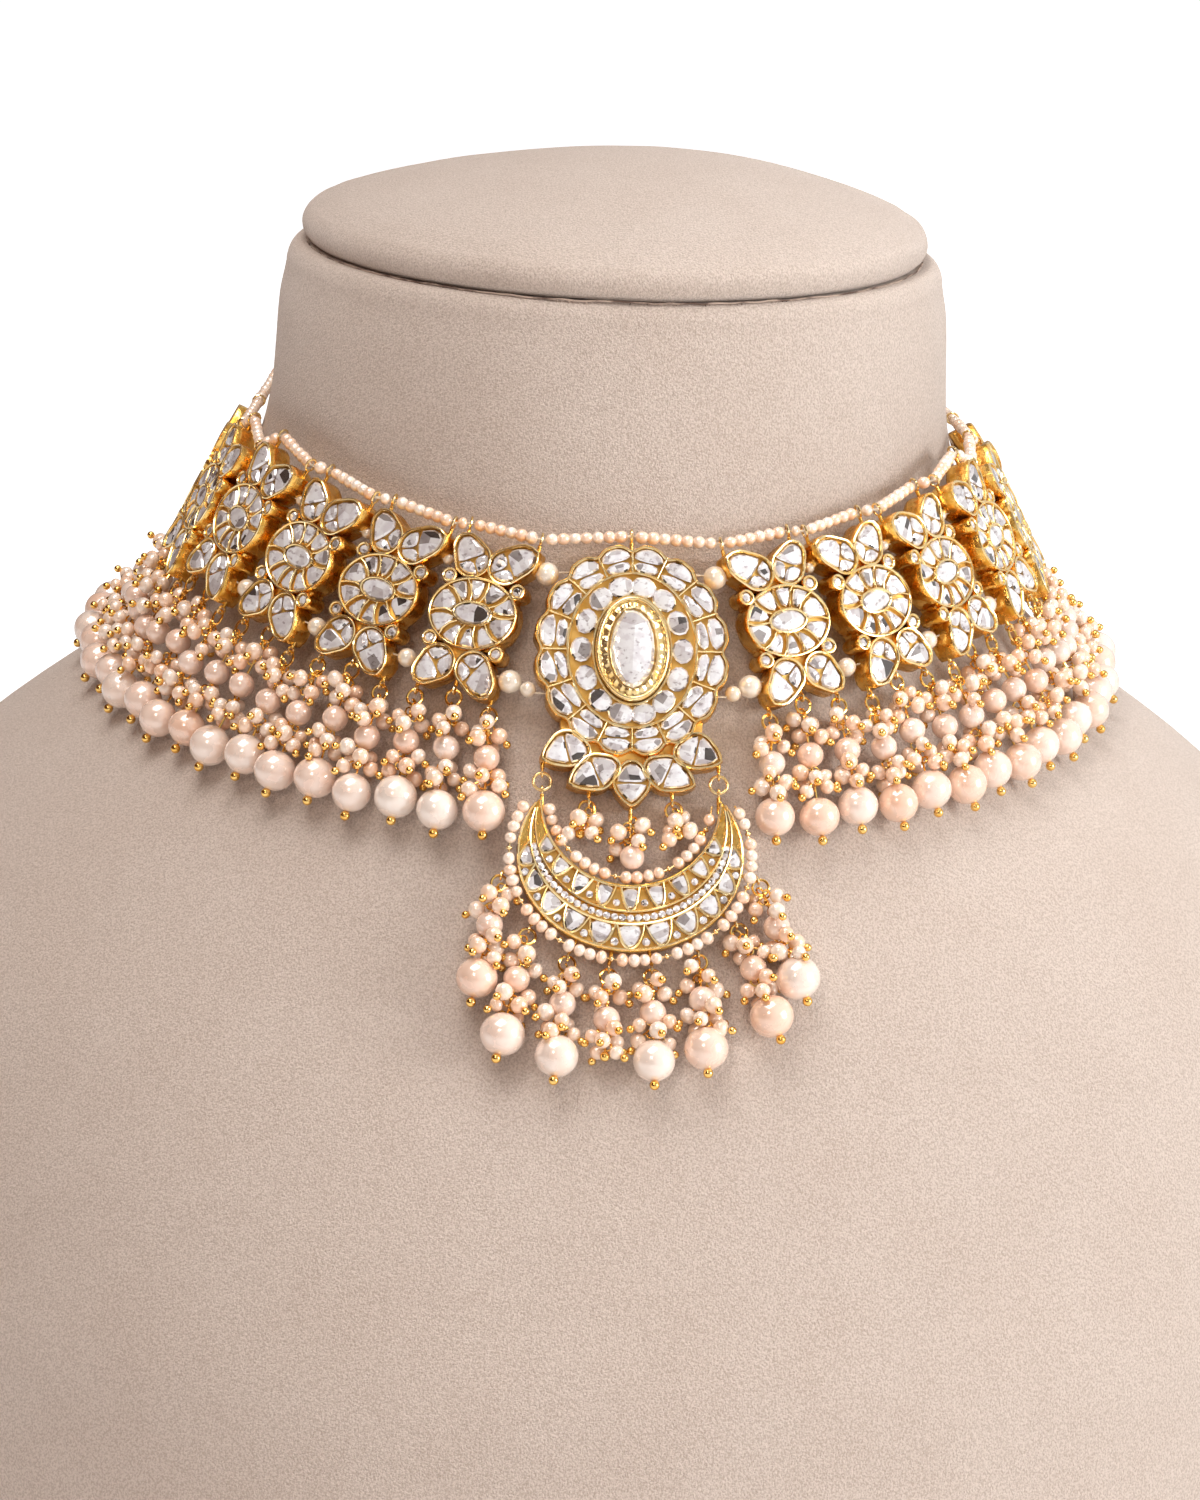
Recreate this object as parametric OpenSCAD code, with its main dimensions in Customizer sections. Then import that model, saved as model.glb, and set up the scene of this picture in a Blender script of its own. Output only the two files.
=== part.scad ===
// Polki necklace on a plain neck bust, in millimetres, standing on z = 0.
// The collar is a row of stone-set plaques with a pendant and a crescent at the front, held by
// threads and a string of seed pearls, with strands of pearls hanging on jump rings below it.

/* [Bust] */
// Height of the covered bust without its cap
bust_h = 214.7; // [205:0.5:225]
// Radius of the padded cap on the neck
cap_r = 51.7; // [50.5:0.1:52]
// Thickness of the padded cap
cap_h = 15.2; // [12:0.2:16]
// Gap between pieces that rest on each other
seat_gap = 0.25; // [0.15:0.05:0.3]

/* [Collar] */
// Angle round the neck from the front to the first plaque
first_plaque = 21.2; // [21:0.1:22]
// Angle from one plaque to the next
plaque_step = 13.5; // [13.4:0.05:14]
// Half width of the ring that the plaque faces stand on
collar_w = 69.4; // [69:0.1:71]
// Front depth of that ring
collar_d = 66.3; // [66:0.1:68]
// Height that the ring gains from the front to the side
collar_rise = 15.7; // [14:0.1:16]
// Lean of the plaques, bottom edge outwards
collar_lean = 26.9; // [26:0.1:28]
// Tilt of a plaque in its own plane at the side of the neck
collar_tilt = 11.5; // [10:0.5:12.5]
// Thickness of a plaque
plaque_t = 4.2; // [3.6:0.1:4.3]
// Depth of the cells that hold the stones
cell_depth = 0.8; // [0.6:0.1:1]
// Width of the gold between two cells
cell_wall = 0.45; // [0.35:0.05:0.6]

/* [Pendant] */
// Lean of the pendant and the crescent
pendant_lean = 27.5; // [27:0.1:28]
// Thickness of the pendant
pendant_t = 4.4; // [4:0.1:4.5]
// Thickness of the crescent
crescent_t = 3; // [2.6:0.1:3.2]

/* [Pearls] */
// Diameter of the large pearls below the collar
large_d = 6.6; // [5:0.1:6.8]
// Diameter of the large pearls below the crescent
drop_d = 6.8; // [5:0.1:6.9]
// Diameter of the medium pearls
medium_d = 4.2; // [3:0.1:4.4]
// Diameter of the seed pearls
seed_d = 1.8; // [1.4:0.1:1.9]
// Front height of the row of large pearls, from the front of the top string
pearl_row = -39.6; // [-41:0.1:-38.5]

/* [Hidden] */
$fn = 48;

// Colours
SUEDE = [0.79, 0.70, 0.62];
GOLD = [0.86, 0.66, 0.27];
STONE = [0.90, 0.92, 0.93];
PEARL = [0.96, 0.86, 0.76];
THREAD = [0.93, 0.90, 0.84];

// Skin of the bust. A row is a tilted oval, and heights are from the front of the top string
BUST = [
    // front height, rise at the sides, half width, front depth, back depth
    [-178, 0, 138, 130, 70],
    [-172, 0, 140, 130, 70],
    [-120, 0, 140, 118, 69],
    [-95, 1, 137, 106.5, 68],
    [-75, 4, 128, 95.5, 66],
    [-58, 8, 107, 86, 64],
    [-50, 9, 93.5, 81.6, 63],
    [-38, 9, 76, 75.1, 62],
    [-24, 8.5, 66, 67.6, 60],
    [-12, 10.5, 59.2, 61, 58.5],
    [-2, 12, 56.2, 55.7, 56.8],
    [12, 8, 55.6, 53.8, 55.8],
    [24, 3, 55.3, 51.5, 55.4],
    [31, 0, 54.8, 50.5, 55],
    [36.7, 0, 53.2, 48.9, 53.6],
];
BUST_COLUMNS = [for (i = [0:4]) [for (row = BUST) [row[0], row[i]]]];
SOFTEN = [-5, -2.5, 0, 2.5, 5];
neck_top = 36.7;
bust_front = 130;
bust_back = 70;
bust_sides = 60;
neck_centre = [0, (bust_front - bust_back) / 2, bust_h - neck_top];
cap_edge = 3;
// Angle by which the cap's edge rolls in under itself
cap_tuck = 70;
back_share = 0.7;

// Ring of the plaques: height at the front, and how it turns in and levels off past the side
plaque_count = 6;
collar_front_z = -10.4;
turn_from = 62;
turn_in = 0.0026;
turn_share = 0.2;
tilt_loss = 0.2;
level_loss = 0.28;
end_gap = 1.5;
end_plaques_from = 4;

// A plaque of the right side in its own plane, x away from the pendant, y up, its face at z = 0
LEAVES = [
    // centre of the round end x, y, point x, y
    [-4.1, 7.7, -8.9, 10.9],
    [1.4, 7.9, 4.3, 11.7],
    [-2.9, -9, -6.5, -13.2],
    [3, -8.9, 6.1, -12.4],
];
leaf_r = 2.85;
BEZELS = [[-6.9, 4.1], [4.5, 4.8], [-6, -6.1], [5.2, -5.4]];
bezel_r = 1.3;
flower_at = [-0.7, -0.5];
flower_w = 6.95;
flower_h = 5.6;
PETAL_WALLS = [-7, 44, 73, 101, 136, 174, 223, 254, 282, 311, 353];
heart_w = 3.05;
heart_h = 1.75;
stone_gap = 0.15;
girdle_depth = 0.15;
stone_foot = 0.94;
// Loops below a plaque, and the height where each leaves the edge
LOOPS = [[-6.4, -14.2, -12.4], [-0.2, -12.4, -9.5], [5.9, -13.5, -11.8]];
loop_r = 0.62;
loop_wire = 0.2;
stem_r = 0.38;
// Eyes for the top string: x, y
INNER_POST = [-7.9, 13.4];
OUTER_POST = [4, 13.9];
post_foot_y = 9.5;
post_eye_r = 1;
post_eye_turn = 20;
mid_depth = -2.4;

// Threads through the plaques: height, inner end, outer end, and where they pass the pendant
upper_thread_y = 7.6;
lower_thread_y = -9;
UPPER_ENDS = [-8, 5];
LOWER_ENDS = [-6.6, 6.6];
upper_pendant = [10.9, 12.6];
lower_pendant = [14.6, -6.6];
thread_r = 0.2;
hole_r = 0.45;
plaque_hole_l = 24;
pendant_hole_l = 40;
drill_r = 0.4;
upper_pearl_d = 1.7;
lower_pearl_d = 3;
side_pearl_d = 3.4;
small_pearl_d = 2;
// Shares of the way to the pendant at which the two lower pearls beside it hang
SIDE_SHARES = [0.3, 0.78];

// Top string: ends at the posts narrow to the bare thread
string_neck_r = 0.22;
string_swell = 1.7;
short_run = 6.6;
BACK_AZIMUTHS = [for (t = [100:8:172]) t];
string_side_v = -6;
string_back_rise = 8;
clasp_l = 9;
clasp_r = 1.7;
clasp_end_l = 1;
clasp_end_share = 0.7;
clasp_bare = 0.2;
drill_gap = 0.3;

// Pendant in its own plane, its face at z = 0 and the middle of the big stone at the origin
pendant_at = [0, -68, -13.6];
PETALS = 16;
petal_w = 15.2;
petal_h = 16.9;
scallop = 0.7;
wall_w = 9.8;
wall_h = 12;
bezel_w = 5.7;
bezel_h = 8.2;
big_w = 3.4;
big_h = 6.2;
bezel_rise = 1.6;
bezel_foot = 1;
bezel_gap = 0.2;
pocket_room = 0.7;
pocket_z = 0.2;
petal_rim = 0.9;
BIG_STONE = [
    // share of the width, share of the height, distance from the face
    [0.95, 0.95, 0.35],
    [1, 1, 1.1],
    [0.75, 0.8, 2],
    [0.3, 0.5, 2.5],
];
RING_STONES = 14;
// Stones on an oval: half width and half height of the oval, half size outwards and across
RING_STONE = [7.85, 10.2, 1.45, 1.7];
INNER_PETAL_STONE = [11.15, 13.25, 0.7, 1.55];
OUTER_PETAL_STONE = [13, 14.95, 0.88, 1.75];
LOTUS = [
    // centre of the round end x, y, point x, y
    [0, -21.4, 0, -26],
    [5.3, -19.7, 9.6, -21.5],
    [10, -15.7, 14.2, -17.8],
];
lotus_r = 2.9;
lotus_wall = 0.7;
LOTUS_BASE = [[-11, -11], [11, -11], [10, -16], [5.3, -20], [0, -22], [-5.3, -20], [-10, -16]];
pendant_post_y = 18.6;
pendant_post_foot = 15;
link_x = 13.6;
link_y = -19.1;
link_foot = -16.4;
link_r = 1.35;
link_wire = 0.24;

// Crescent: an oval less a disc, in the pendant's plane but seated lower
crescent_y = -36.5;
horn_w = 17.4;
horn_h = 14.8;
horn_y = 4.5;
bite_r = 13.9;
bite_y = 14;
horn_angle = 127;
crescent_face = -1.3;
BANDS = [[0.1, 0.34], [0.42, 0.56], [0.64, 0.92]];
band_reach = 0.62;
band_depth = 0.6;
horn_foot_y = 11.5;
string_clear = 1.25;
// Angle from the foot to each end of the strings of seed pearls along the two edges
inner_reach = 64.8;
outer_reach = 114;
outer_lift = 0.6;
STRING_UP = [0, -1, 0.5];
loop_out = 2.6;
loop_in = 0.6;
loop_stem_r = 0.3;
rim_depth = -3.4;

// Strands below the crescent: where the loop stands on the rim, and the large pearl's place
CRESCENT_STRANDS = [
    // angle from the foot of the rim, pearl x, pearl y, large pearl (1) or none (0)
    [-80, -22.8, -18, 1],
    [-50, -19, -26.1, 1],
    [-28, -11, -28.9, 1],
    [-9, -3.8, -28.3, 0],
    [10, 3.5, -29.3, 1],
    [32, 11.3, -27.5, 1],
    [55, 21.2, -22.9, 1],
    [80, 25.2, -17.4, 1],
];
// Short strands below the pendant: loop x, loop y, foot of the loop y, end x, end y
PENDANT_STRANDS = [
    [-6.4, -23.4, -20.5, -7.6, -28],
    [0, -27.2, -24.5, 0.3, -32],
    [6.4, -23.4, -20.5, 7.4, -28],
];

// Strands
jump_r = 1.25;
wire_r = 0.22;
cluster_r = 0.92;
cluster_out = 1;
cluster_step = 0.2;
cluster_l = 2 * cluster_r + 2 * cluster_step;
end_ball_r = 0.62;
pearl_lift = 0.45;
tail_l = 0.75;
hanging_pearl_d = 3.8;
// Azimuth of the first large pearl of each side, and the angle from one to the next
first_pearl = 15.9;
pearl_step = 5;
pearl_spread = 0.35;
spread_from = 13;
row_fall = 2.5;
row_stagger = 0.7;

// Smoothed value of one column of the bust's table at a front height
function bust_value(v, i) =
    [for (s = SOFTEN) 1] * [for (s = SOFTEN) lookup(v + s, BUST_COLUMNS[i])] / len(SOFTEN);

// Share of a row's rise that it has at an angle round the neck
function lift_share(t) = 1 - cos(t) - (cos(t) < 0 ? back_share * pow(cos(t), 2) : 0);

// Point of the skin at an angle round the neck and a front height, from the neck's centre
function skin(t, v) =
    let (depth = cos(t) > 0 ? bust_value(v, 3) : bust_value(v, 4))
    [bust_value(v, 2) * sin(t), -depth * cos(t), v + bust_value(v, 1) * lift_share(t)];

// Outward direction of the skin there
function skin_out(t, v) =
    let (n = cross(skin(t + 1, v) - skin(t - 1, v), skin(t, v + 0.5) - skin(t, v - 0.5)))
    n / norm(n);

// Place over a point of the pendant's plane that lies a given height above the skin
function over_skin(p, lift) =
    let (
        v = pendant_at[2] + p[1] * cos(pendant_lean),
        t = asin(p[0] / bust_value(v, 2))
    )
    skin(t, v) + lift * skin_out(t, v);

// Azimuth of a plaque, counted from the pendant
function azimuth(k) = first_plaque + plaque_step * (k - 1) + end_gap * max(0, k - end_plaques_from);

// Past the side of the neck the ring turns in and levels off
function past(t) = max(0, abs(t) - turn_from);
function facing(t) = t + sign(t) * turn_share * past(t);
function tilt(t) = collar_tilt * sin(t) - sign(t) * tilt_loss * past(t);

// Middle of a plaque's face
function collar(t) = [
    collar_w * sin(t) - sign(t) * turn_in * pow(past(t), 2),
    -collar_d * cos(t),
    collar_front_z + collar_rise * (1 - cos(t)) - level_loss * past(t),
];

// Place of a point p of a plaque's own frame; side mirrors it
function turned(p, q) = [p[0] * cos(q) - p[1] * sin(q), p[0] * sin(q) + p[1] * cos(q), p[2]];
function leaned(p, q) = [p[0], p[1] * cos(q) - p[2] * sin(q), p[1] * sin(q) + p[2] * cos(q)];
function spot(t, p) =
    collar(t) + turned(leaned(turned([sign(t) * p[0], p[1], p[2]], tilt(t)), 90 - collar_lean), facing(t));
function pendant_spot(p) = pendant_at + leaned(p, 90 - pendant_lean);

// Azimuths of all plaques, from the left end round to the right end
AZIMUTHS = concat([for (k = [plaque_count:-1:1]) -azimuth(k)], [for (k = [1:plaque_count]) azimuth(k)]);

// Outlines
function on_oval(size, q) = [size[0] * cos(q), size[1] * sin(q)];
function oval(w, h, n, phase = 0) = [for (i = [0:n - 1]) on_oval([w, h], phase + 360 * i / n)];
function raised(outline, z) = [for (p = outline) [p[0], p[1], z]];
function leaf(c, r, tip, steps = 10) =
    let (d = tip - c, a = atan2(d[1], d[0]), b = acos(r / norm(d)))
    concat([tip], [for (i = [0:steps]) c + on_oval([r, r], a + b + (360 - 2 * b) * i / steps)]);
function inner_leaf(c, r, tip, wall) = leaf(c, r - wall, c + (tip - c) * (r - wall) / r);

// Cell between two ovals, from one angle to another, less a wall on each side
function cell(at, outer, inner, a, b, wall) =
    let (
        slim = asin(wall / 2 / norm(on_oval(outer, a))),
        wide = asin(wall / 2 / norm(on_oval(inner, a)))
    )
    concat(
        [for (i = [0:3]) at + on_oval(outer, a + slim + (b - a - 2 * slim) * i / 3)],
        [for (i = [1:-1:0]) at + on_oval(inner, a + wide + (b - a - 2 * wide) * i)]
    );

// Skin through rings of equally many points, with flat ends unless the rings form a loop
module loft(rings, loop = false) {
    n = len(rings[0]);
    m = len(rings);
    sides = [
        for (i = [0:m - (loop ? 1 : 2)], j = [0:n - 1])
            let (a = i * n + j, b = i * n + (j + 1) % n, up = (i + 1) % m * n)
            each [[a, up + j, up + (j + 1) % n], [a, up + (j + 1) % n, b]]
    ];
    ends = loop ? [] : [[for (j = [0:n - 1]) j], [for (j = [n - 1:-1:0]) (m - 1) * n + j]];
    polyhedron([for (ring = rings) each ring], concat(ends, sides));
}

// Round tube along a path with a radius at each point; up is never along the path
module tube(path, radii, up = [0, 0, 1], sides = 8, loop = false) {
    m = len(path);
    rings = [
        for (i = [0:m - 1])
            let (
                before = path[loop ? (i + m - 1) % m : max(i - 1, 0)],
                after = path[loop ? (i + 1) % m : min(i + 1, m - 1)],
                along = (after - before) / norm(after - before),
                across = cross(up, along) / norm(cross(up, along)),
                over = cross(along, across)
            )
            [
                for (j = [0:sides - 1])
                    let (q = 360 * j / sides) path[i] + radii[i] * (cos(q) * across + sin(q) * over)
            ]
    ];
    loft(rings, loop);
}

module ring(r, wire) {
    rotate_extrude() translate([r, 0]) circle(wire, $fn = 24);
}

// Frame at a whose z axis runs to b and whose y axis lies as near to side as it can
module along(a, b, side) {
    z = (b - a) / norm(b - a);
    x = cross(side, z) / norm(cross(side, z));
    y = cross(z, x);
    multmatrix([
        [x[0], y[0], z[0], a[0]],
        [x[1], y[1], z[1], a[1]],
        [x[2], y[2], z[2], a[2]],
        [0, 0, 0, 1],
    ]) children();
}

module drilled_pearl(d) {
    difference() {
        sphere(d / 2);
        cylinder(h = d + 1, r = drill_r, center = true, $fn = 24);
    }
}

// Stone with a flat base, a girdle and a table; the crown has a facet for each side
module cut_stone(w, h, sides = 8, table = 0.55, phase = 22.5, rise = 0.35) {
    loft([
        raised(oval(w * stone_foot, h * stone_foot, sides, phase), stone_gap - cell_depth),
        raised(oval(w, h, sides, phase), -girdle_depth),
        raised(oval(w * table, h * table, sides, phase), rise),
    ]);
}

// Everything worn is placed from the neck's centre
module at_neck() {
    translate(neck_centre) children();
}

module at_plaque(side, k) {
    t = side * azimuth(k);
    at_neck() translate(collar(t)) rotate([0, 0, facing(t)]) rotate([90 - collar_lean, 0, 0])
        rotate([0, 0, tilt(t)]) mirror([side < 0 ? 1 : 0, 0, 0]) children();
}

module at_pendant() {
    at_neck() translate(pendant_at) rotate([90 - pendant_lean, 0, 0]) children();
}

// Bust and its cap
module bust() {
    heights = concat(
        [for (v = [-bust_h + neck_top:12:-70]) v],
        [for (v = [-64:5:26]) v],
        [30, 33, 35.2, neck_top - 0.01]
    );
    color(SUEDE) at_neck()
        loft([for (v = heights) [for (i = [0:bust_sides - 1]) skin(360 * i / bust_sides, v)]]);
}

module bust_cap() {
    crown_r = cap_r - cap_edge;
    foot = cap_edge * (1 - sin(cap_tuck));
    rim = [
        for (i = [0:8])
            let (q = -cap_tuck + (90 + cap_tuck) * i / 8)
            [crown_r + cap_edge * cos(q), cap_edge * (1 + sin(q))]
    ];
    dome = [
        for (i = [1:8])
            let (f = i / 8) [crown_r * (1 - f), 2 * cap_edge + (cap_h - 2 * cap_edge) * sin(90 * f)]
    ];
    middle = (bust_value(neck_top, 4) - bust_value(neck_top, 3)) / 2;
    color(SUEDE) at_neck() translate([0, middle, neck_top + seat_gap - foot])
        rotate_extrude($fn = 96) polygon(concat([[0, foot]], rim, dome));
}

// Plaques
module plaque_outline() {
    for (l = LEAVES) polygon(leaf([l[0], l[1]], leaf_r, [l[2], l[3]]));
    for (b = BEZELS) translate(b) circle(bezel_r);
    translate(flower_at) polygon(oval(flower_w, flower_h, 32));
    polygon([BEZELS[0], BEZELS[1], BEZELS[3], BEZELS[2]]);
    polygon([for (i = [0, 1, 3, 2]) [LEAVES[i][0], LEAVES[i][1]]]);
}

module plaque_cells() {
    outer = [flower_w - cell_wall, flower_h - cell_wall];
    inner = [heart_w + cell_wall, heart_h + cell_wall];
    for (l = LEAVES) polygon(inner_leaf([l[0], l[1]], leaf_r, [l[2], l[3]], cell_wall));
    for (b = BEZELS) translate(b) circle(bezel_r - cell_wall);
    for (i = [0:9]) polygon(cell(flower_at, outer, inner, PETAL_WALLS[i], PETAL_WALLS[i + 1], cell_wall));
    translate(flower_at) polygon(oval(heart_w, heart_h, 24));
}

// Small eye on a stem, its hole along x or turned towards the string
module eye(x, y, foot_y, r, turn = 0) {
    reach = abs(foot_y - y) - r;
    translate([x, y, mid_depth]) rotate([0, 90 - turn, 0]) ring(r, loop_wire);
    translate([x, foot_y, mid_depth]) rotate([foot_y > y ? 90 : -90, 0, 0])
        cylinder(h = reach, r = stem_r, $fn = 24);
}

module thread_hole(y, l) {
    translate([-l / 2, y, mid_depth]) rotate([0, 90, 0]) cylinder(h = l, r = hole_r, $fn = 24);
}

module plaque(side, k) {
    color(GOLD) at_plaque(side, k) difference() {
        union() {
            translate([0, 0, -plaque_t]) linear_extrude(plaque_t) plaque_outline();
            for (p = [INNER_POST, OUTER_POST]) eye(p[0], p[1], post_foot_y, post_eye_r, post_eye_turn);
            for (l = LOOPS) eye(l[0], l[1], l[2], loop_r);
        }
        translate([0, 0, -cell_depth]) linear_extrude(2) plaque_cells();
        for (y = [upper_thread_y, lower_thread_y])
            thread_hole(y, plaque_hole_l);
    }
}

module plaque_left_1() plaque(-1, 1);
module plaque_left_2() plaque(-1, 2);
module plaque_left_3() plaque(-1, 3);
module plaque_left_4() plaque(-1, 4);
module plaque_left_5() plaque(-1, 5);
module plaque_left_6() plaque(-1, 6);
module plaque_right_1() plaque(1, 1);
module plaque_right_2() plaque(1, 2);
module plaque_right_3() plaque(1, 3);
module plaque_right_4() plaque(1, 4);
module plaque_right_5() plaque(1, 5);
module plaque_right_6() plaque(1, 6);

module flower_stones() {
    color(STONE) for (side = [-1, 1], k = [1:plaque_count])
        at_plaque(side, k) translate(flower_at)
            cut_stone(heart_w - stone_gap, heart_h - stone_gap, 10, phase = 18);
}

// Pendant
function scalloped(n) = [
    for (i = [0:n - 1])
        let (q = 360 * i / n, s = 1 - scallop / petal_w * pow(abs(cos(PETALS / 2 * q)), 6))
        on_oval([petal_w * s, petal_h * s], q)
];

module pendant_outline() {
    polygon(scalloped(128));
    for (side = [-1, 1], l = LOTUS)
        polygon(leaf([side * l[0], l[1]], lotus_r, [side * l[2], l[3]]));
    polygon(LOTUS_BASE);
}

module pendant_cells() {
    step = 360 / PETALS;
    outer = [petal_w - petal_rim, petal_h - petal_rim];
    inner = [wall_w + cell_wall, wall_h + cell_wall];
    for (i = [0:PETALS - 1]) polygon(cell([0, 0], outer, inner, i * step, (i + 1) * step, cell_wall));
    for (side = [-1, 1], l = LOTUS)
        polygon(inner_leaf([side * l[0], l[1]], lotus_r, [side * l[2], l[3]], lotus_wall));
    difference() {
        polygon(oval(wall_w, wall_h, 48));
        polygon(oval(bezel_w + bezel_gap, bezel_h + bezel_gap, 48));
    }
}

module pendant_setting() {
    color(GOLD) at_pendant() difference() {
        union() {
            translate([0, 0, -pendant_t]) linear_extrude(pendant_t) pendant_outline();
            translate([0, 0, -bezel_foot]) linear_extrude(bezel_foot + bezel_rise)
                polygon(oval(bezel_w, bezel_h, 48));
            eye(0, pendant_post_y, pendant_post_foot, post_eye_r);
            for (side = [-1, 1]) eye(side * link_x, link_y, link_foot, loop_r);
            for (s = PENDANT_STRANDS) eye(s[0], s[1], s[2], loop_r);
        }
        translate([0, 0, -cell_depth]) linear_extrude(0.5 + cell_depth) pendant_cells();
        translate([0, 0, pocket_z]) linear_extrude(2)
            polygon(oval(big_w + pocket_room, big_h + pocket_room, 48));
        for (y = [upper_pendant[1], lower_pendant[1]]) thread_hole(y, pendant_hole_l);
    }
}

module pendant_centre_stone() {
    color(STONE) at_pendant()
        loft([for (row = BIG_STONE) raised(oval(big_w * row[0], big_h * row[1], 12), row[2])]);
}

// Stone of a row, with its long side across the line from the pendant's centre
module ray_stone(q, row) {
    translate([row[0] * cos(q), row[1] * sin(q), 0]) rotate([0, 0, atan2(row[0] * sin(q), row[1] * cos(q))])
        cut_stone(row[2], row[3]);
}

module pendant_ring_stones() {
    color(STONE) at_pendant() for (i = [0:RING_STONES - 1])
        ray_stone((i + 0.5) * 360 / RING_STONES + 90, RING_STONE);
}

module pendant_petal_stones() {
    color(STONE) at_pendant() for (i = [0:PETALS - 1], row = [INNER_PETAL_STONE, OUTER_PETAL_STONE])
        ray_stone((i + 0.5) * 360 / PETALS, row);
}

// Point of the crescent: a from the foot of the rim, f from the inner edge to the rim
function crescent_point(a, f) =
    let (
        q = a * horn_angle,
        rim = [horn_w * sin(q), horn_y - horn_h * cos(q)],
        s = a * asin(horn_w * sin(horn_angle) / bite_r),
        edge = [bite_r * sin(s), bite_y - bite_r * cos(s)]
    )
    [0, crescent_y] + edge * (1 - f) + rim * f;
function crescent_band(f, g, a, n = 24) = concat(
    [for (i = [0:n]) crescent_point(a * (2 * i / n - 1), g)],
    [for (i = [n:-1:0]) crescent_point(a * (2 * i / n - 1), f)]
);
function rim_point(q, out) = [(horn_w + out) * sin(q), crescent_y + horn_y - (horn_h + out) * cos(q)];

// Angle from straight down at which a strand hangs in the pendant's plane
function hang(row) =
    let (p = rim_point(row[0], loop_out)) atan2(row[1] - p[0], p[1] - row[2] - crescent_y);

module crescent_setting() {
    color(GOLD) at_pendant() difference() {
        union() {
            translate([0, 0, -pendant_t]) linear_extrude(crescent_t) polygon(crescent_band(0, 1, 1, 32));
            for (side = [-1, 1]) eye(side * link_x, link_y - 2 * link_r, crescent_y + horn_foot_y, loop_r);
            for (s = CRESCENT_STRANDS) crescent_loop(s[0], hang(s));
        }
        for (b = BANDS)
            translate([0, 0, crescent_face - band_depth]) linear_extrude(2)
                polygon(crescent_band(b[0], b[1], band_reach));
    }
}

// Loop for a strand, square to the way it hangs, on a short arm past the rim's string
module crescent_loop(q, h) {
    foot = rim_point(q, -loop_in);
    middle = rim_point(q, loop_out);
    stem = middle - loop_r * [sin(h), -cos(h)] - foot;
    translate([middle[0], middle[1], rim_depth]) rotate([0, 0, h]) rotate([0, 90, 0]) ring(loop_r, loop_wire);
    translate([foot[0], foot[1], rim_depth]) rotate([90, 0, atan2(stem[0], -stem[1])])
        cylinder(h = norm(stem), r = loop_stem_r, $fn = 24);
}

module crescent_jump_rings() {
    color(GOLD) at_pendant() for (side = [-1, 1])
        translate([side * link_x, link_y - link_r, mid_depth]) ring(link_r, link_wire);
}

module crescent_inner_string() {
    r = bite_r - string_clear;
    path = [
        for (i = [-12:12])
            let (q = inner_reach * i / 12)
            pendant_spot([r * sin(q), crescent_y + bite_y - r * cos(q), mid_depth])
    ];
    color(PEARL) at_neck() tube(path, [for (p = path) seed_d / 2], STRING_UP);
}

module crescent_outer_string() {
    path = [
        for (i = [-15:15])
            let (p = rim_point(outer_reach * i / 15, string_clear))
            pendant_spot([p[0], p[1], mid_depth + outer_lift])
    ];
    color(PEARL) at_neck() tube(path, [for (p = path) seed_d / 2], STRING_UP);
}

// Top string: bare at each post, round the back to the clasp
function swell(a, b) =
    let (d = norm(b - a), u = (b - a) / d, r = seed_d / 2)
    d < short_run
        ? [[(a + b) / 2, r * d / short_run]]
        : [[a + string_swell * u, r], [b - string_swell * u, r]];
function back_point(t) =
    let (v = string_side_v - string_back_rise * cos(t))
    skin(t, v) + (seed_d / 2 + pearl_lift) * skin_out(t, v);
function post_points(t, posts) = [for (p = posts) spot(t, [p[0], p[1], mid_depth])];
POSTS = concat(
    [for (t = AZIMUTHS) if (t < 0) each post_points(t, [OUTER_POST, INNER_POST])],
    [pendant_spot([0, pendant_post_y, mid_depth])],
    [for (t = AZIMUTHS) if (t > 0) each post_points(t, [INNER_POST, OUTER_POST])]
);
clasp_at = skin(180, string_side_v + string_back_rise) + [0, clasp_r + pearl_lift, 0];

module top_string() {
    front = [
        for (i = [0:len(POSTS) - 2])
            each concat([[POSTS[i], string_neck_r]], swell(POSTS[i], POSTS[i + 1]))
    ];
    last = [[POSTS[len(POSTS) - 1], string_neck_r]];
    right = [for (t = BACK_AZIMUTHS) [back_point(t), seed_d / 2]];
    left = [for (i = [len(right) - 1:-1:0]) let (p = right[i][0]) [[-p[0], p[1], p[2]], seed_d / 2]];
    clasp_run = [
        for (end = [[clasp_end_l, seed_d / 2], [-clasp_bare, string_neck_r]])
            [clasp_at + [clasp_l / 2 + end[0], 0, 0], end[1]]
    ];
    clasp_back = [for (i = [1, 0]) let (p = clasp_run[i][0]) [[-p[0], p[1], p[2]], clasp_run[i][1]]];
    rows = concat(front, last, right, clasp_run, clasp_back, left);
    color(PEARL) at_neck() tube([for (r = rows) r[0]], [for (r = rows) r[1]], loop = true);
}

module clasp() {
    color(GOLD) at_neck() translate(clasp_at) rotate([0, 90, 0]) difference() {
        union() {
            cylinder(h = clasp_l, r = clasp_r * clasp_end_share, center = true);
            cylinder(h = clasp_l - 2 * clasp_end_l, r = clasp_r, center = true);
        }
        cylinder(h = clasp_l + 1, r = string_neck_r + drill_gap, center = true, $fn = 24);
    }
}

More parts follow.
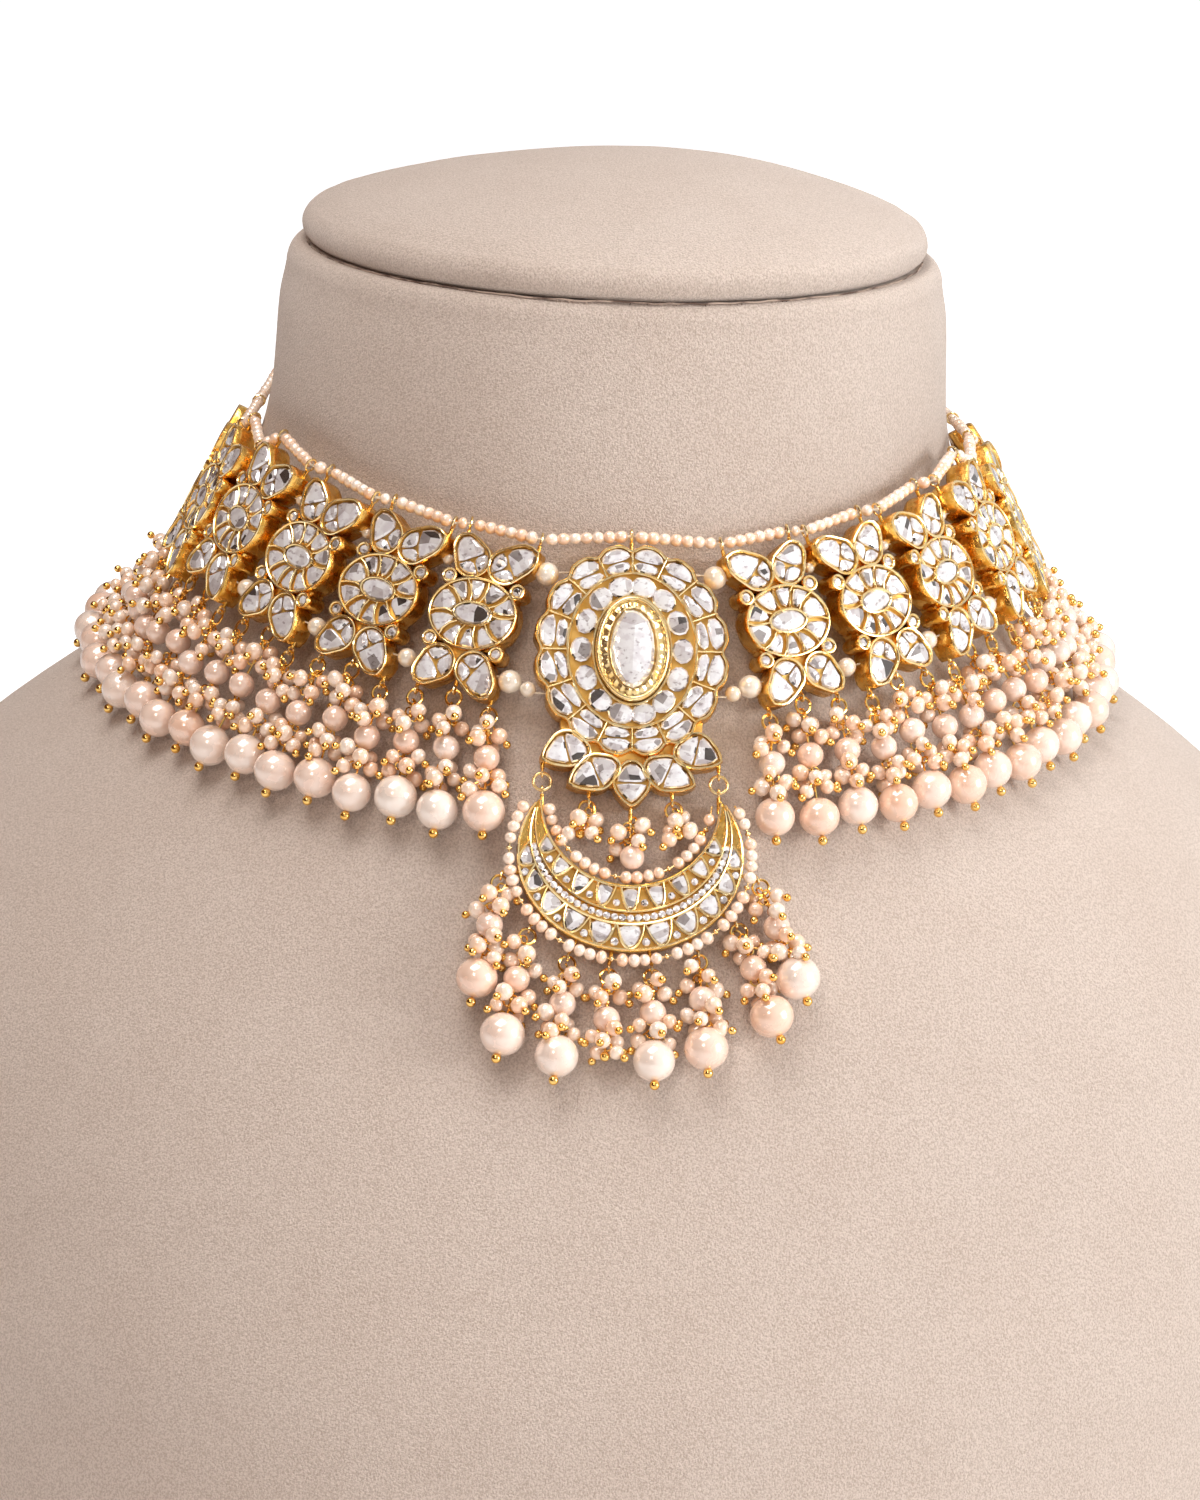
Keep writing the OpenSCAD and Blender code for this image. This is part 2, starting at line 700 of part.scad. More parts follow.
// Threads through the plaques and the pendant
function thread_run(y, ends, pendant) = concat(
    [for (t = AZIMUTHS) if (t < 0) each [for (x = [ends[1], ends[0]]) spot(t, [x, y, mid_depth])]],
    [for (side = [-1, 1]) pendant_spot([side * pendant[0], pendant[1], mid_depth])],
    [for (t = AZIMUTHS) if (t > 0) each [for (x = ends) spot(t, [x, y, mid_depth])]]
);
UPPER_RUN = thread_run(upper_thread_y, UPPER_ENDS, upper_pendant);
LOWER_RUN = thread_run(lower_thread_y, LOWER_ENDS, lower_pendant);

module upper_thread() {
    color(THREAD) at_neck() tube(UPPER_RUN, [for (p = UPPER_RUN) thread_r], sides = 6);
}

module lower_thread() {
    color(THREAD) at_neck() tube(LOWER_RUN, [for (p = LOWER_RUN) thread_r], sides = 6);
}

// Pearl on the thread from a to b, at a share of the way
module threaded_pearl(a, b, share, d) {
    at_neck() along(a, b, [0, 0, 1]) translate([0, 0, norm(b - a) * share]) drilled_pearl(d);
}

module upper_spacer_pearls() {
    middle = 2 * plaque_count - 1;
    color(PEARL) for (i = [1:2:len(UPPER_RUN) - 3]) {
        d = i == middle || i == middle + 2 ? side_pearl_d : upper_pearl_d;
        threaded_pearl(UPPER_RUN[i], UPPER_RUN[i + 1], 0.5, d);
    }
}

module lower_spacer_pearls() {
    middle = 2 * plaque_count - 1;
    color(PEARL) for (i = [1:2:len(LOWER_RUN) - 3]) {
        a = LOWER_RUN[i];
        b = LOWER_RUN[i + 1];
        if (i == middle || i == middle + 2) {
            threaded_pearl(a, b, i == middle ? SIDE_SHARES[0] : 1 - SIDE_SHARES[0], side_pearl_d);
            threaded_pearl(a, b, i == middle ? SIDE_SHARES[1] : 1 - SIDE_SHARES[1], small_pearl_d);
        } else threaded_pearl(a, b, 0.5, lower_pearl_d);
    }
}

// Strands. A strand is the place of its loop, the middle of its last pearl and the loop's axis
function side_strand(side, k, j) =
    let (
        t = side * azimuth(k),
        n = 3 * (k - 1) + j,
        q = first_pearl + pearl_step * n + pearl_spread * pow(max(0, n - spread_from), 2),
        v = pearl_row - row_fall * (1 - cos(q)) - row_stagger * (n % 2)
    )
    [
        spot(t, [LOOPS[j][0], LOOPS[j][1], mid_depth]),
        skin(side * q, v) + (large_d / 2 + pearl_lift) * skin_out(side * q, v),
        side * (spot(t, [0, 0, 0]) - spot(t, [1, 0, 0])),
    ];
function side_strands(side) = [for (k = [1:plaque_count], j = [0:2]) side_strand(side, k, j)];

function crescent_strand(row) =
    let (p = rim_point(row[0], loop_out), h = hang(row))
    [
        pendant_spot([p[0], p[1], rim_depth]),
        over_skin([row[1], row[2] + crescent_y], drop_d / 2 + pearl_lift),
        -leaned([cos(h), sin(h), 0], 90 - pendant_lean),
    ];
CRESCENT_RUNS = [for (row = CRESCENT_STRANDS) crescent_strand(row)];
PENDANT_RUNS = [
    for (s = PENDANT_STRANDS)
        [pendant_spot([s[0], s[1], mid_depth]), pendant_spot([s[3], s[4], mid_depth]), [-1, 0, 0]]
];

// Places along a strand of its first cluster, medium pearl and second cluster, with equal room between
function run_length(run) = norm(run[1] - run[0]);
function places(run, bead_r) =
    let (
        l = run_length(run),
        top = 2 * jump_r + wire_r,
        room = (l - bead_r - top - 2 * cluster_l - medium_d) / 4
    )
    [
        top + room + cluster_l / 2,
        top + 2 * room + cluster_l + medium_d / 2,
        l - bead_r - room - cluster_l / 2,
    ];

// Three seed pearls round the wire
module cluster(z) {
    for (i = [-1:1])
        rotate([0, 0, 120 * i]) translate([cluster_out, 0, z + cluster_step * i]) sphere(cluster_r);
}

// Ring, wire, clusters and end ball of one strand, as one soldered and wound piece
module strand_wire(run, bead_r, clusters, ball = true) {
    end = run_length(run) + bead_r + (ball ? tail_l : -wire_r);
    at_neck() along(run[0], run[1], run[2]) {
        translate([0, 0, jump_r]) rotate([0, 90, 0]) ring(jump_r, wire_r);
        translate([0, 0, 2 * jump_r]) cylinder(h = end - 2 * jump_r, r = wire_r, $fn = 24);
        if (ball) translate([0, 0, end]) sphere(end_ball_r, $fn = 24);
        for (z = clusters) cluster(z);
    }
}

module strand_pearl(run, z, d) {
    at_neck() along(run[0], run[1], run[2]) translate([0, 0, z]) drilled_pearl(d);
}

module side_wires(side) {
    color(GOLD) for (run = side_strands(side)) {
        z = places(run, large_d / 2);
        strand_wire(run, large_d / 2, [z[0], z[2]]);
    }
}

module medium_pearls(side) {
    color(PEARL) for (run = side_strands(side)) strand_pearl(run, places(run, large_d / 2)[1], medium_d);
}

module large_pearls(side) {
    color(PEARL) for (run = side_strands(side)) strand_pearl(run, run_length(run), large_d);
}

module left_fringe_wires() side_wires(-1);
module right_fringe_wires() side_wires(1);
module left_medium_pearls() medium_pearls(-1);
module right_medium_pearls() medium_pearls(1);
module left_large_pearls() large_pearls(-1);
module right_large_pearls() large_pearls(1);

// Radius of the large pearl of a crescent strand, or none
function drop_r(i) = CRESCENT_STRANDS[i][3] * drop_d / 2;

module crescent_fringe_wires() {
    color(GOLD) {
        for (i = [0:len(CRESCENT_RUNS) - 1]) {
            z = places(CRESCENT_RUNS[i], drop_r(i));
            strand_wire(CRESCENT_RUNS[i], drop_r(i), [z[0], z[2]]);
        }
        for (run = [PENDANT_RUNS[0], PENDANT_RUNS[2]]) strand_wire(run, 0, [run_length(run) - cluster_l / 3]);
        strand_wire(PENDANT_RUNS[1], hanging_pearl_d / 2, [], ball = false);
    }
}

module crescent_medium_pearls() {
    color(PEARL) {
        for (i = [0:len(CRESCENT_RUNS) - 1])
            strand_pearl(CRESCENT_RUNS[i], places(CRESCENT_RUNS[i], drop_r(i))[1], medium_d);
        strand_pearl(PENDANT_RUNS[1], run_length(PENDANT_RUNS[1]), hanging_pearl_d);
    }
}

module crescent_large_pearls() {
    color(PEARL) for (i = [0:len(CRESCENT_RUNS) - 1])
        if (drop_r(i) > 0) strand_pearl(CRESCENT_RUNS[i], run_length(CRESCENT_RUNS[i]), drop_d);
}

bust();
bust_cap();
plaque_left_1();
plaque_left_2();
plaque_left_3();
plaque_left_4();
plaque_left_5();
plaque_left_6();
plaque_right_1();
plaque_right_2();
plaque_right_3();
plaque_right_4();
plaque_right_5();
plaque_right_6();
flower_stones();
pendant_setting();
pendant_centre_stone();
pendant_ring_stones();
pendant_petal_stones();
crescent_setting();
crescent_jump_rings();
crescent_inner_string();
crescent_outer_string();
top_string();
clasp();
upper_thread();
lower_thread();
upper_spacer_pearls();
lower_spacer_pearls();
left_fringe_wires();
left_medium_pearls();
left_large_pearls();
right_fringe_wires();
right_medium_pearls();
right_large_pearls();
crescent_fringe_wires();
crescent_medium_pearls();
crescent_large_pearls();
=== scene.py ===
"""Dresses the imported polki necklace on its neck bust: gold, foil-backed stones, pearls and suede."""

import logging
import math
from dataclasses import dataclass, field
from enum import Enum
from typing import Iterable, Sequence

import bmesh
import bpy
import numpy as np
from mathutils import Matrix, Vector, noise


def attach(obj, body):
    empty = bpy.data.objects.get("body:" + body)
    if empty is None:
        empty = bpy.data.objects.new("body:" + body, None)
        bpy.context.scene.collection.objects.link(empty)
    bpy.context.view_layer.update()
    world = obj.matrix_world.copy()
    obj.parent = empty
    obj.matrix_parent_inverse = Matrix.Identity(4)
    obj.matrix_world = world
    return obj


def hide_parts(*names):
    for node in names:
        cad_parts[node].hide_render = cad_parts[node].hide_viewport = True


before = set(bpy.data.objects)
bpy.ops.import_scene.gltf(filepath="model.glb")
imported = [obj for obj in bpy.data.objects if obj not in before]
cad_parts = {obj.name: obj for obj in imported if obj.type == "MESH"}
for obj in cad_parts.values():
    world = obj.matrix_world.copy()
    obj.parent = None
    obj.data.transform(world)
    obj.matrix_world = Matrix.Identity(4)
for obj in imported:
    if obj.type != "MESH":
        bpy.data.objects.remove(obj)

LOG = logging.getLogger("polki_necklace")
MM = 0.001
BODY = "root"
NOISE_SEED = 5
Material = bpy.types.Material
Mesh = bpy.types.Mesh
Outputs = bpy.types.NodeOutputs
Socket = bpy.types.NodeSocket
Tree = bpy.types.NodeTree
Points = np.ndarray
Pair = tuple[float, float]
Pairs = tuple[Pair, ...]
Triple = tuple[float, float, float]
Rows = tuple[tuple[float, ...], ...]
Colour = tuple[float, float, float, float]
Stops = tuple[tuple[float, Triple], ...]
WHITE: Colour = (1, 1, 1, 1)


class Slot(Enum):
    """Material slots of the record."""

    SUEDE = "bust_suede"
    GOLD = "gold"
    STONE = "polki_stone"
    PEARL = "pearl"
    THREAD = "thread"


class Side(Enum):
    """Sides of the collar, as the sign of x."""

    LEFT = -1
    RIGHT = 1


def sin(degrees: float | Points) -> float | Points:
    """Sine of an angle in degrees."""
    return np.sin(np.radians(degrees))


def cos(degrees: float | Points) -> float | Points:
    """Cosine of an angle in degrees."""
    return np.cos(np.radians(degrees))


def unit(v: Points) -> Points:
    """The vector's direction, with length one."""
    return v / np.linalg.norm(v)


def vec(*values: float) -> Points:
    """A point or direction as an array."""
    return np.array(values, float)


def turn_z(q: float) -> Points:
    """Rotation matrix about z by q degrees."""
    return np.array([[cos(q), -sin(q), 0], [sin(q), cos(q), 0], [0, 0, 1]])


def turn_x(q: float) -> Points:
    """Rotation matrix about x by q degrees."""
    return np.array([[1, 0, 0], [0, cos(q), -sin(q)], [0, sin(q), cos(q)]])


@dataclass(frozen=True)
class Place:
    """Where a flat or round form stands: an origin and three axes, in millimetres from the neck's centre."""

    origin: Points
    axes: Points

    def put(self, points: Points) -> Points:
        """Points of the form's own frame, moved to their place."""
        return np.atleast_2d(points) @ self.axes.T + self.origin

    def point(self, x: float, y: float, z: float) -> Points:
        """One point of the form's own frame, moved to its place."""
        return self.put(vec(x, y, z))[0]

    def flat(self, outline: Points, z: float | Points) -> Points:
        """A flat outline at a height of the form's own frame, moved to its place."""
        return self.put(lifted(outline, z))

    @staticmethod
    def along(start: Points, end: Points, side: Points) -> "Place":
        """A frame whose z runs from start to end.

        Args:
            start: Origin of the frame.
            end: A point on its z axis.
            side: Direction that its y axis lies near.

        Returns:
            The place.
        """
        z = unit(end - start)
        x = unit(np.cross(side, z))
        return Place(start, np.stack([x, np.cross(z, x), z], 1))


@dataclass(frozen=True)
class NeckForm:
    """Skin of the bust as tilted oval rows, with heights from the front of the top string."""

    rows: Rows = (
        (-178, 0, 138, 130, 70), (-172, 0, 140, 130, 70), (-120, 0, 140, 118, 69),
        (-95, 1, 137, 106.5, 68), (-75, 4, 128, 95.5, 66), (-58, 8, 107, 86, 64),
        (-50, 9, 93.5, 81.6, 63), (-38, 9, 76, 75.1, 62), (-24, 8.5, 66, 67.6, 60),
        (-12, 10.5, 59.2, 61, 58.5), (-2, 12, 56.2, 55.7, 56.8), (12, 8, 55.6, 53.8, 55.8),
        (24, 3, 55.3, 51.5, 55.4), (31, 0, 54.8, 50.5, 55), (36.7, 0, 53.2, 48.9, 53.6),
    )
    soften: tuple[float, ...] = (-5, -2.5, 0, 2.5, 5)
    back_share: float = 0.7
    foot: float = -178
    top: float = 36.7
    centre: Triple = (0, 30, 178)

    def value(self, v: float | Points, column: int) -> float | Points:
        """One column of the table at a height: 1 rise, 2 half width, 3 front depth, 4 back depth."""
        table = np.array(self.rows)
        return np.mean([np.interp(np.asarray(v) + s, table[:, 0], table[:, column]) for s in self.soften], 0)

    def skin(self, t: float, v: float) -> Points:
        """Point of the skin at an angle round the neck and a height."""
        c = cos(t)
        depth = self.value(v, 3) if c > 0 else self.value(v, 4)
        lift = 1 - c - (self.back_share * c * c if c < 0 else 0)
        return vec(self.value(v, 2) * sin(t), -depth * c, v + self.value(v, 1) * lift)

    def outward(self, t: float, v: float) -> Points:
        """Outward direction of the skin there."""
        across = self.skin(t + 1, v) - self.skin(t - 1, v)
        return unit(np.cross(across, self.skin(t, v + 0.5) - self.skin(t, v - 0.5)))

    def above(self, t: float, v: float, lift: float) -> Points:
        """Point at a height above the skin."""
        return self.skin(t, v) + lift * self.outward(t, v)


@dataclass(frozen=True)
class CollarForm:
    """The ring that the plaques stand on, and how it turns in and levels off past the side of the neck."""

    count: int = 6
    first: float = 21.2
    step: float = 13.5
    end_gap: float = 1.5
    half_width: float = 69.4
    depth: float = 66.3
    rise: float = 15.7
    lean: float = 26.9
    tilt: float = 11.5
    front_z: float = -10.4
    turn_from: float = 62
    turn_in: float = 0.0026
    turn_share: float = 0.2
    level_loss: float = 0.28

    def azimuth(self, k: int) -> float:
        """Azimuth of plaque k, counted from the pendant."""
        return self.first + self.step * (k - 1) + self.end_gap * max(0, k - 4)

    def place(self, side: Side, k: int) -> Place:
        """Place of a plaque's own frame: x away from the pendant, y up, its face at z = 0."""
        t = side.value * self.azimuth(k)
        past = max(0.0, abs(t) - self.turn_from)
        origin = vec(
            self.half_width * sin(t) - side.value * self.turn_in * past**2,
            -self.depth * cos(t),
            self.front_z + self.rise * (1 - cos(t)) - self.level_loss * past,
        )
        facing = t + side.value * self.turn_share * past
        tilt = self.tilt * sin(t) - side.value * self.turn_share * past
        axes = turn_z(facing) @ turn_x(90 - self.lean) @ turn_z(tilt) @ np.diag([side.value, 1, 1])
        return Place(origin, axes)

    def order(self) -> list[tuple[Side, int]]:
        """All plaques from the left end round to the right end."""
        left = [(Side.LEFT, k) for k in range(self.count, 0, -1)]
        return left + [(Side.RIGHT, k) for k in range(1, self.count + 1)]


NECK = NeckForm()
COLLAR = CollarForm()
PENDANT_LEAN = 27.5
PENDANT_PLACE = Place(vec(0, -68, -13.6), turn_x(90 - PENDANT_LEAN))
MID_DEPTH = -2.4
STONE_EDGE = 16.0


def circle(r: float, n: int, centre: Sequence[float] = (0, 0), phase: float = 0) -> Points:
    """Points of a circle in a plane."""
    return oval(r, r, n, centre, phase)


def oval(w: float, h: float, n: int, centre: Sequence[float] = (0, 0), phase: float = 0) -> Points:
    """Points of an oval in a plane, anticlockwise."""
    q = phase + np.arange(n) * 360 / n
    return np.stack([centre[0] + w * cos(q), centre[1] + h * sin(q)], 1)


def leaf(centre: Sequence[float], r: float, tip: Sequence[float], bow: float = 0.2) -> Points:
    """A round end drawn out to a point by bowed sides, anticlockwise."""
    c, p = np.array(centre, float), np.array(tip, float)
    d = p - c
    a, b = math.degrees(math.atan2(d[1], d[0])), math.degrees(math.acos(r / np.linalg.norm(d)))
    sides = []
    for turn in (b, -b):
        foot = c + r * np.array([cos(a + turn), sin(a + turn)])
        out = math.copysign(bow, turn) * np.array([(p - foot)[1], -(p - foot)[0]])
        sides += [foot + (p - foot) * f - out * 4 * f * (1 - f) for f in (0.25, 0.5, 0.75)]
    return hull(np.vstack([circle(r, 26, c), p[None], sides]))


def hull(points: Points) -> Points:
    """Convex outline round points, anticlockwise."""
    ordered = sorted({(round(float(x), 6), round(float(y), 6)) for x, y in points})

    def half(run: Sequence[Pair]) -> list[Pair]:
        """One side of the outline."""
        kept: list[Pair] = []
        for p in run:
            while len(kept) > 1:
                (ax, ay), (bx, by) = kept[-2], kept[-1]
                if (bx - ax) * (p[1] - ay) - (by - ay) * (p[0] - ax) > 0:
                    break
                kept.pop()
            kept.append(p)
        return kept[:-1]

    return np.array(half(ordered) + half(ordered[::-1]))


def drawn_in(outline: Points, by: float) -> Points:
    """An anticlockwise outline moved inwards by a length, point for point."""
    before, after = outline - np.roll(outline, 1, 0), np.roll(outline, -1, 0) - outline
    outs = [np.stack([d[:, 1], -d[:, 0]], 1) / np.linalg.norm(d, axis=1)[:, None] for d in (before, after)]
    spread = np.maximum(1 + np.sum(outs[0] * outs[1], 1), 0.6)
    return outline - by * (outs[0] + outs[1]) / spread[:, None]


def ray_cell(
    outer: Sequence[float],
    inner: Sequence[float],
    a: float,
    b: float,
    wall: float,
    centre: Sequence[float] = (0, 0),
) -> Points:
    """Cell between two ovals, less half a wall on each side.

    Args:
        outer: Half width and half height of the outer oval.
        inner: Half width and half height of the inner oval.
        a: Angle of its first side.
        b: Angle of its second side.
        wall: Thickness of the walls between cells.
        centre: Middle of both ovals.

    Returns:
        Five points along the outer oval and two along the inner one.
    """

    def slim(size: Sequence[float]) -> float:
        """Angle that half a wall takes at one oval."""
        return math.degrees(math.asin(wall / 2 / math.hypot(size[0] * cos(a), size[1] * sin(a))))

    s, w = slim(outer), slim(inner)
    q = a + s + (b - a - 2 * s) * np.arange(5) / 4
    p = np.array([b - w, a + w])
    far = np.stack([outer[0] * cos(q), outer[1] * sin(q)], 1)
    near = np.stack([inner[0] * cos(p), inner[1] * sin(p)], 1)
    return np.vstack([far, near]) + np.array(centre)


def clipped(outline: Points, point: Points, out: Points) -> Points:
    """A convex outline less what lies on the far side of a line.

    Args:
        outline: Points of the outline in order.
        point: A point of the line.
        out: Direction away from what is kept.

    Returns:
        The outline that is left.
    """
    kept = []
    gaps = (outline - point) @ out
    for i in range(len(outline)):
        a, b = outline[i], outline[(i + 1) % len(outline)]
        ga, gb = gaps[i], gaps[(i + 1) % len(outline)]
        if ga <= 0:
            kept.append(a)
        if (ga < 0 < gb) or (gb < 0 < ga):
            kept.append(a + (b - a) * ga / (ga - gb))
    return np.array(kept)


def inset(outline: Points, gap: float) -> Points:
    """A convex anticlockwise outline moved inwards by a gap."""
    made = outline
    for i in range(len(outline)):
        a, b = outline[i], outline[(i + 1) % len(outline)]
        d = b - a
        length = np.linalg.norm(d)
        if length < 1e-6:
            continue
        out = np.array([d[1], -d[0]]) / length
        made = clipped(made, a - gap * out, out)
        if len(made) < 3:
            raise ValueError("the cell is too small for its gap")
    return made


def rounded(outline: Points, n: int, passes: int = 2) -> Points:
    """An outline with its corners cut off, then n points evenly along it."""
    p = outline
    for _ in range(passes):
        nxt = np.roll(p, -1, 0)
        p = np.stack([0.75 * p + 0.25 * nxt, 0.25 * p + 0.75 * nxt], 1).reshape(-1, 2)
    return spaced(np.vstack([p, p[:1]]), n, closed=True)


def run_along(path: Points) -> Points:
    """Way along a path from its start to each of its points."""
    return np.concatenate([[0], np.cumsum(np.linalg.norm(np.diff(path, axis=0), axis=1))])


def spaced(path: Points, n: int, closed: bool = False) -> Points:
    """n points evenly along a path.

    Args:
        path: Points of the path; a closed one ends where it starts.
        n: How many points to make.
        closed: Whether the last point is left out.

    Returns:
        The points.
    """
    length = run_along(path)
    at = np.linspace(0, length[-1], n + 1)[:-1] if closed else np.linspace(0, length[-1], n)
    return np.stack([np.interp(at, length, path[:, i]) for i in range(path.shape[1])], 1)


def heading(path: Points, way: Points, s: float) -> tuple[int, Points]:
    """Number of the point at a way along a path, and the path's direction there."""
    j = min(max(int(np.searchsorted(way, s)), 1), len(path) - 2)
    return j, unit(path[j + 1] - path[j - 1])


def lifted(outline: Points, z: float | Points) -> Points:
    """A flat outline at a height."""
    return np.column_stack([outline, np.broadcast_to(z, len(outline))])


class MeshPile:
    """Gathers the shells of one piece, in millimetres from the neck's centre, and makes its object."""

    def __init__(self) -> None:
        """Starts an empty pile."""
        self.points: list[Points] = []
        self.faces: list[tuple[int, ...]] = []
        self.finish: list[int] = []
        self.tone: list[float] = []
        self.smooth: list[bool] = []
        self.count = 0

    def add(
        self,
        points: Points,
        faces: Iterable[Sequence[int]],
        finish: int = 0,
        smooth: bool = True,
        tones: Sequence[float] | None = None,
    ) -> None:
        """Adds points and faces.

        Args:
            points: Points in millimetres from the neck's centre.
            faces: Faces as indices into these points.
            finish: Index of the material.
            smooth: Whether the faces are shaded smooth.
            tones: A tone from 0 to 1 for each face, or none.
        """
        new = [tuple(int(i) + self.count for i in f) for f in faces]
        self.points.append(np.asarray(points, float))
        self.count += len(points)
        self.faces += new
        self.finish += [finish] * len(new)
        self.smooth += [smooth] * len(new)
        self.tone += list(tones) if tones is not None else [0.5] * len(new)

    def loft(self, rings: Sequence[Points], finish: int = 0, floor: int | None = None) -> None:
        """Adds a closed skin through rings of equally many points.

        Args:
            rings: The rings in order, with flat ends.
            finish: Index of the material.
            floor: Index of the material of the last band and the last end, if it is another.
        """
        n, m = len(rings[0]), len(rings)
        faces: list[Sequence[int]] = [tuple(range(n - 1, -1, -1))]
        for i in range(m - 1):
            up = (i + 1) * n
            faces += [(i * n + j, i * n + (j + 1) % n, up + (j + 1) % n, up + j) for j in range(n)]
        faces.append(tuple(range((m - 1) * n, m * n)))
        self.add(np.vstack(rings), faces, finish)
        if floor is not None:
            self.finish[-n - 1:] = [floor] * (n + 1)

    def take(self, mesh: Mesh, finish: int = 0) -> None:
        """Adds a mesh that a node tree made, in metres of the row frame, with its tones, and removes it."""
        co = np.zeros(len(mesh.vertices) * 3, np.float32)
        mesh.vertices.foreach_get("co", co)
        points = co.reshape(-1, 3) / MM - np.array(NECK.centre)
        tones = None
        tone = mesh.attributes.get("tone")
        if tone is not None and tone.domain == "POINT":
            at = np.zeros(len(mesh.vertices), np.float32)
            tone.data.foreach_get("value", at)
            tones = [float(at[p.vertices[0]]) for p in mesh.polygons]
        self.add(points, [p.vertices[:] for p in mesh.polygons], finish, True, tones)
        bpy.data.meshes.remove(mesh)

    def roughened(self, amount: float, grain: float) -> None:
        """Moves every point gathered so far by smooth noise.

        Args:
            amount: Largest move in millimetres.
            grain: Size of the bumps in millimetres.
        """
        for block in self.points:
            for i, p in enumerate(block):
                block[i] += amount * np.array(noise.noise_vector(Vector(p) / grain))

    def piece(
        self,
        name: str,
        finishes: Sequence[Material],
        slot: Slot,
        replaces: Sequence[str] = (),
        sharp: float | None = 50,
        outward: bool = True,
    ) -> bpy.types.Object:
        """Makes the object, with its place in its mesh.

        Args:
            name: Name of the piece.
            finishes: Its materials, in the order of the faces' indices.
            slot: The record's material slot; not used.
            replaces: CAD nodes that it stands for.
            sharp: Angle above which an edge between smooth faces is sharp, or None.
            outward: Whether the faces are turned outwards.

        Returns:
            The object, which rides on the body.
        """
        mesh = bpy.data.meshes.new(name)
        points = (np.vstack(self.points) + np.array(NECK.centre)) * MM
        mesh.from_pydata([tuple(p) for p in points], [], self.faces)
        tone = mesh.attributes.new("tone", "FLOAT", "FACE")
        tone.data.foreach_set("value", np.array(self.tone, np.float32))
        mesh.polygons.foreach_set("material_index", np.array(self.finish, np.int32))
        mesh.polygons.foreach_set("use_smooth", np.array(self.smooth, bool))
        if outward:
            work = bmesh.new()
            work.from_mesh(mesh)
            bmesh.ops.recalc_face_normals(work, faces=work.faces)
            work.to_mesh(mesh)
            work.free()
        if sharp is not None:
            mesh.set_sharp_from_angle(angle=math.radians(sharp))
        mesh.update()
        for finish in finishes:
            mesh.materials.append(finish)
        obj = bpy.data.objects.new(name, mesh)
        bpy.context.scene.collection.objects.link(obj)
        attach(obj, BODY)
        if replaces:
            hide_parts(*replaces)
        LOG.info("%s: %d faces", name, len(mesh.polygons))
        return obj


def piece_of(
    name: str,
    finish: Material,
    slot: Slot,
    replaces: Sequence[str],
    meshes: Sequence[Mesh],
) -> None:
    """Makes a piece of one finish from meshes of the node trees.

    Args:
        name: Name of the piece.
        finish: Its material.
        slot: The record's material slot; not used.
        replaces: CAD nodes that it stands for.
        meshes: The meshes, which are used up.
    """
    pile = MeshPile()
    for mesh in meshes:
        pile.take(mesh)
    pile.piece(name, [finish], slot, replaces)


class Nodes:
    """A node tree, with short ways to add and join its nodes."""

    def __init__(self, tree: Tree) -> None:
        """Takes the tree to work on."""
        self.tree = tree

    def node(
        self, kind: str, inputs: dict[str | int, object] | None = None, **settings: object
    ) -> bpy.types.Node:
        """Adds a node.

        Args:
            kind: Its type.
            inputs: A socket to link or a value to set, for each input by name or number.
            **settings: Its properties.

        Returns:
            The node.
        """
        made = self.tree.nodes.new(kind)
        for key, value in settings.items():
            setattr(made, key, value)
        for key, value in (inputs or {}).items():
            self.feed(value, made.inputs[key])
        return made

    def feed(self, value: object, socket: Socket) -> None:
        """Links a socket to an input, or sets the input to a value."""
        if isinstance(value, Socket):
            self.tree.links.new(value, socket)
        else:
            socket.default_value = value


class NodeTree(Nodes):
    """A geometry node tree with named inputs, and the meshes that it makes."""

    def __init__(self, name: str, **inputs: str) -> None:
        """Starts a tree with a geometry input and output, and named inputs of given types."""
        super().__init__(bpy.data.node_groups.new(name, "GeometryNodeTree"))
        self.inputs: dict[str, str] = {}
        for key, kind in {"Geometry": "Geometry", **inputs}.items():
            made = self.tree.interface.new_socket(key, in_out="INPUT", socket_type="NodeSocket" + kind)
            self.inputs[key] = made.identifier
        self.tree.interface.new_socket("Geometry", in_out="OUTPUT", socket_type="NodeSocketGeometry")
        self.start = self.node("NodeGroupInput").outputs
        self.end = self.node("NodeGroupOutput").inputs

    def attribute(self, name: str, kind: str) -> Socket:
        """Output of a named attribute."""
        made = self.node("GeometryNodeInputNamedAttribute", {"Name": name}, data_type=kind)
        return made.outputs["Attribute"]

    def dress(self, geometry: Socket) -> None:
        """Sets the material on a geometry and puts it out."""
        made = self.node("GeometryNodeSetMaterial", {"Geometry": geometry, "Material": self.start["Finish"]})
        self.feed(made.outputs["Geometry"], self.end["Geometry"])

    def made(self, source: Mesh, values: dict[str, object]) -> Mesh:
        """Runs the tree on a mesh.

        Args:
            source: Mesh with the points or paths, which is used up.
            values: Values of the named inputs.

        Returns:
            The plain mesh that the tree made.
        """
        carrier = bpy.data.objects.new("carrier", source)
        bpy.context.scene.collection.objects.link(carrier)
        modifier = carrier.modifiers.new("tree", "NODES")
        modifier.node_group = self.tree
        for name, value in values.items():
            modifier[self.inputs[name]] = value
        graph = bpy.context.evaluated_depsgraph_get()
        mesh = bpy.data.meshes.new_from_object(carrier.evaluated_get(graph))
        bpy.data.objects.remove(carrier)
        bpy.data.meshes.remove(source)
        return mesh


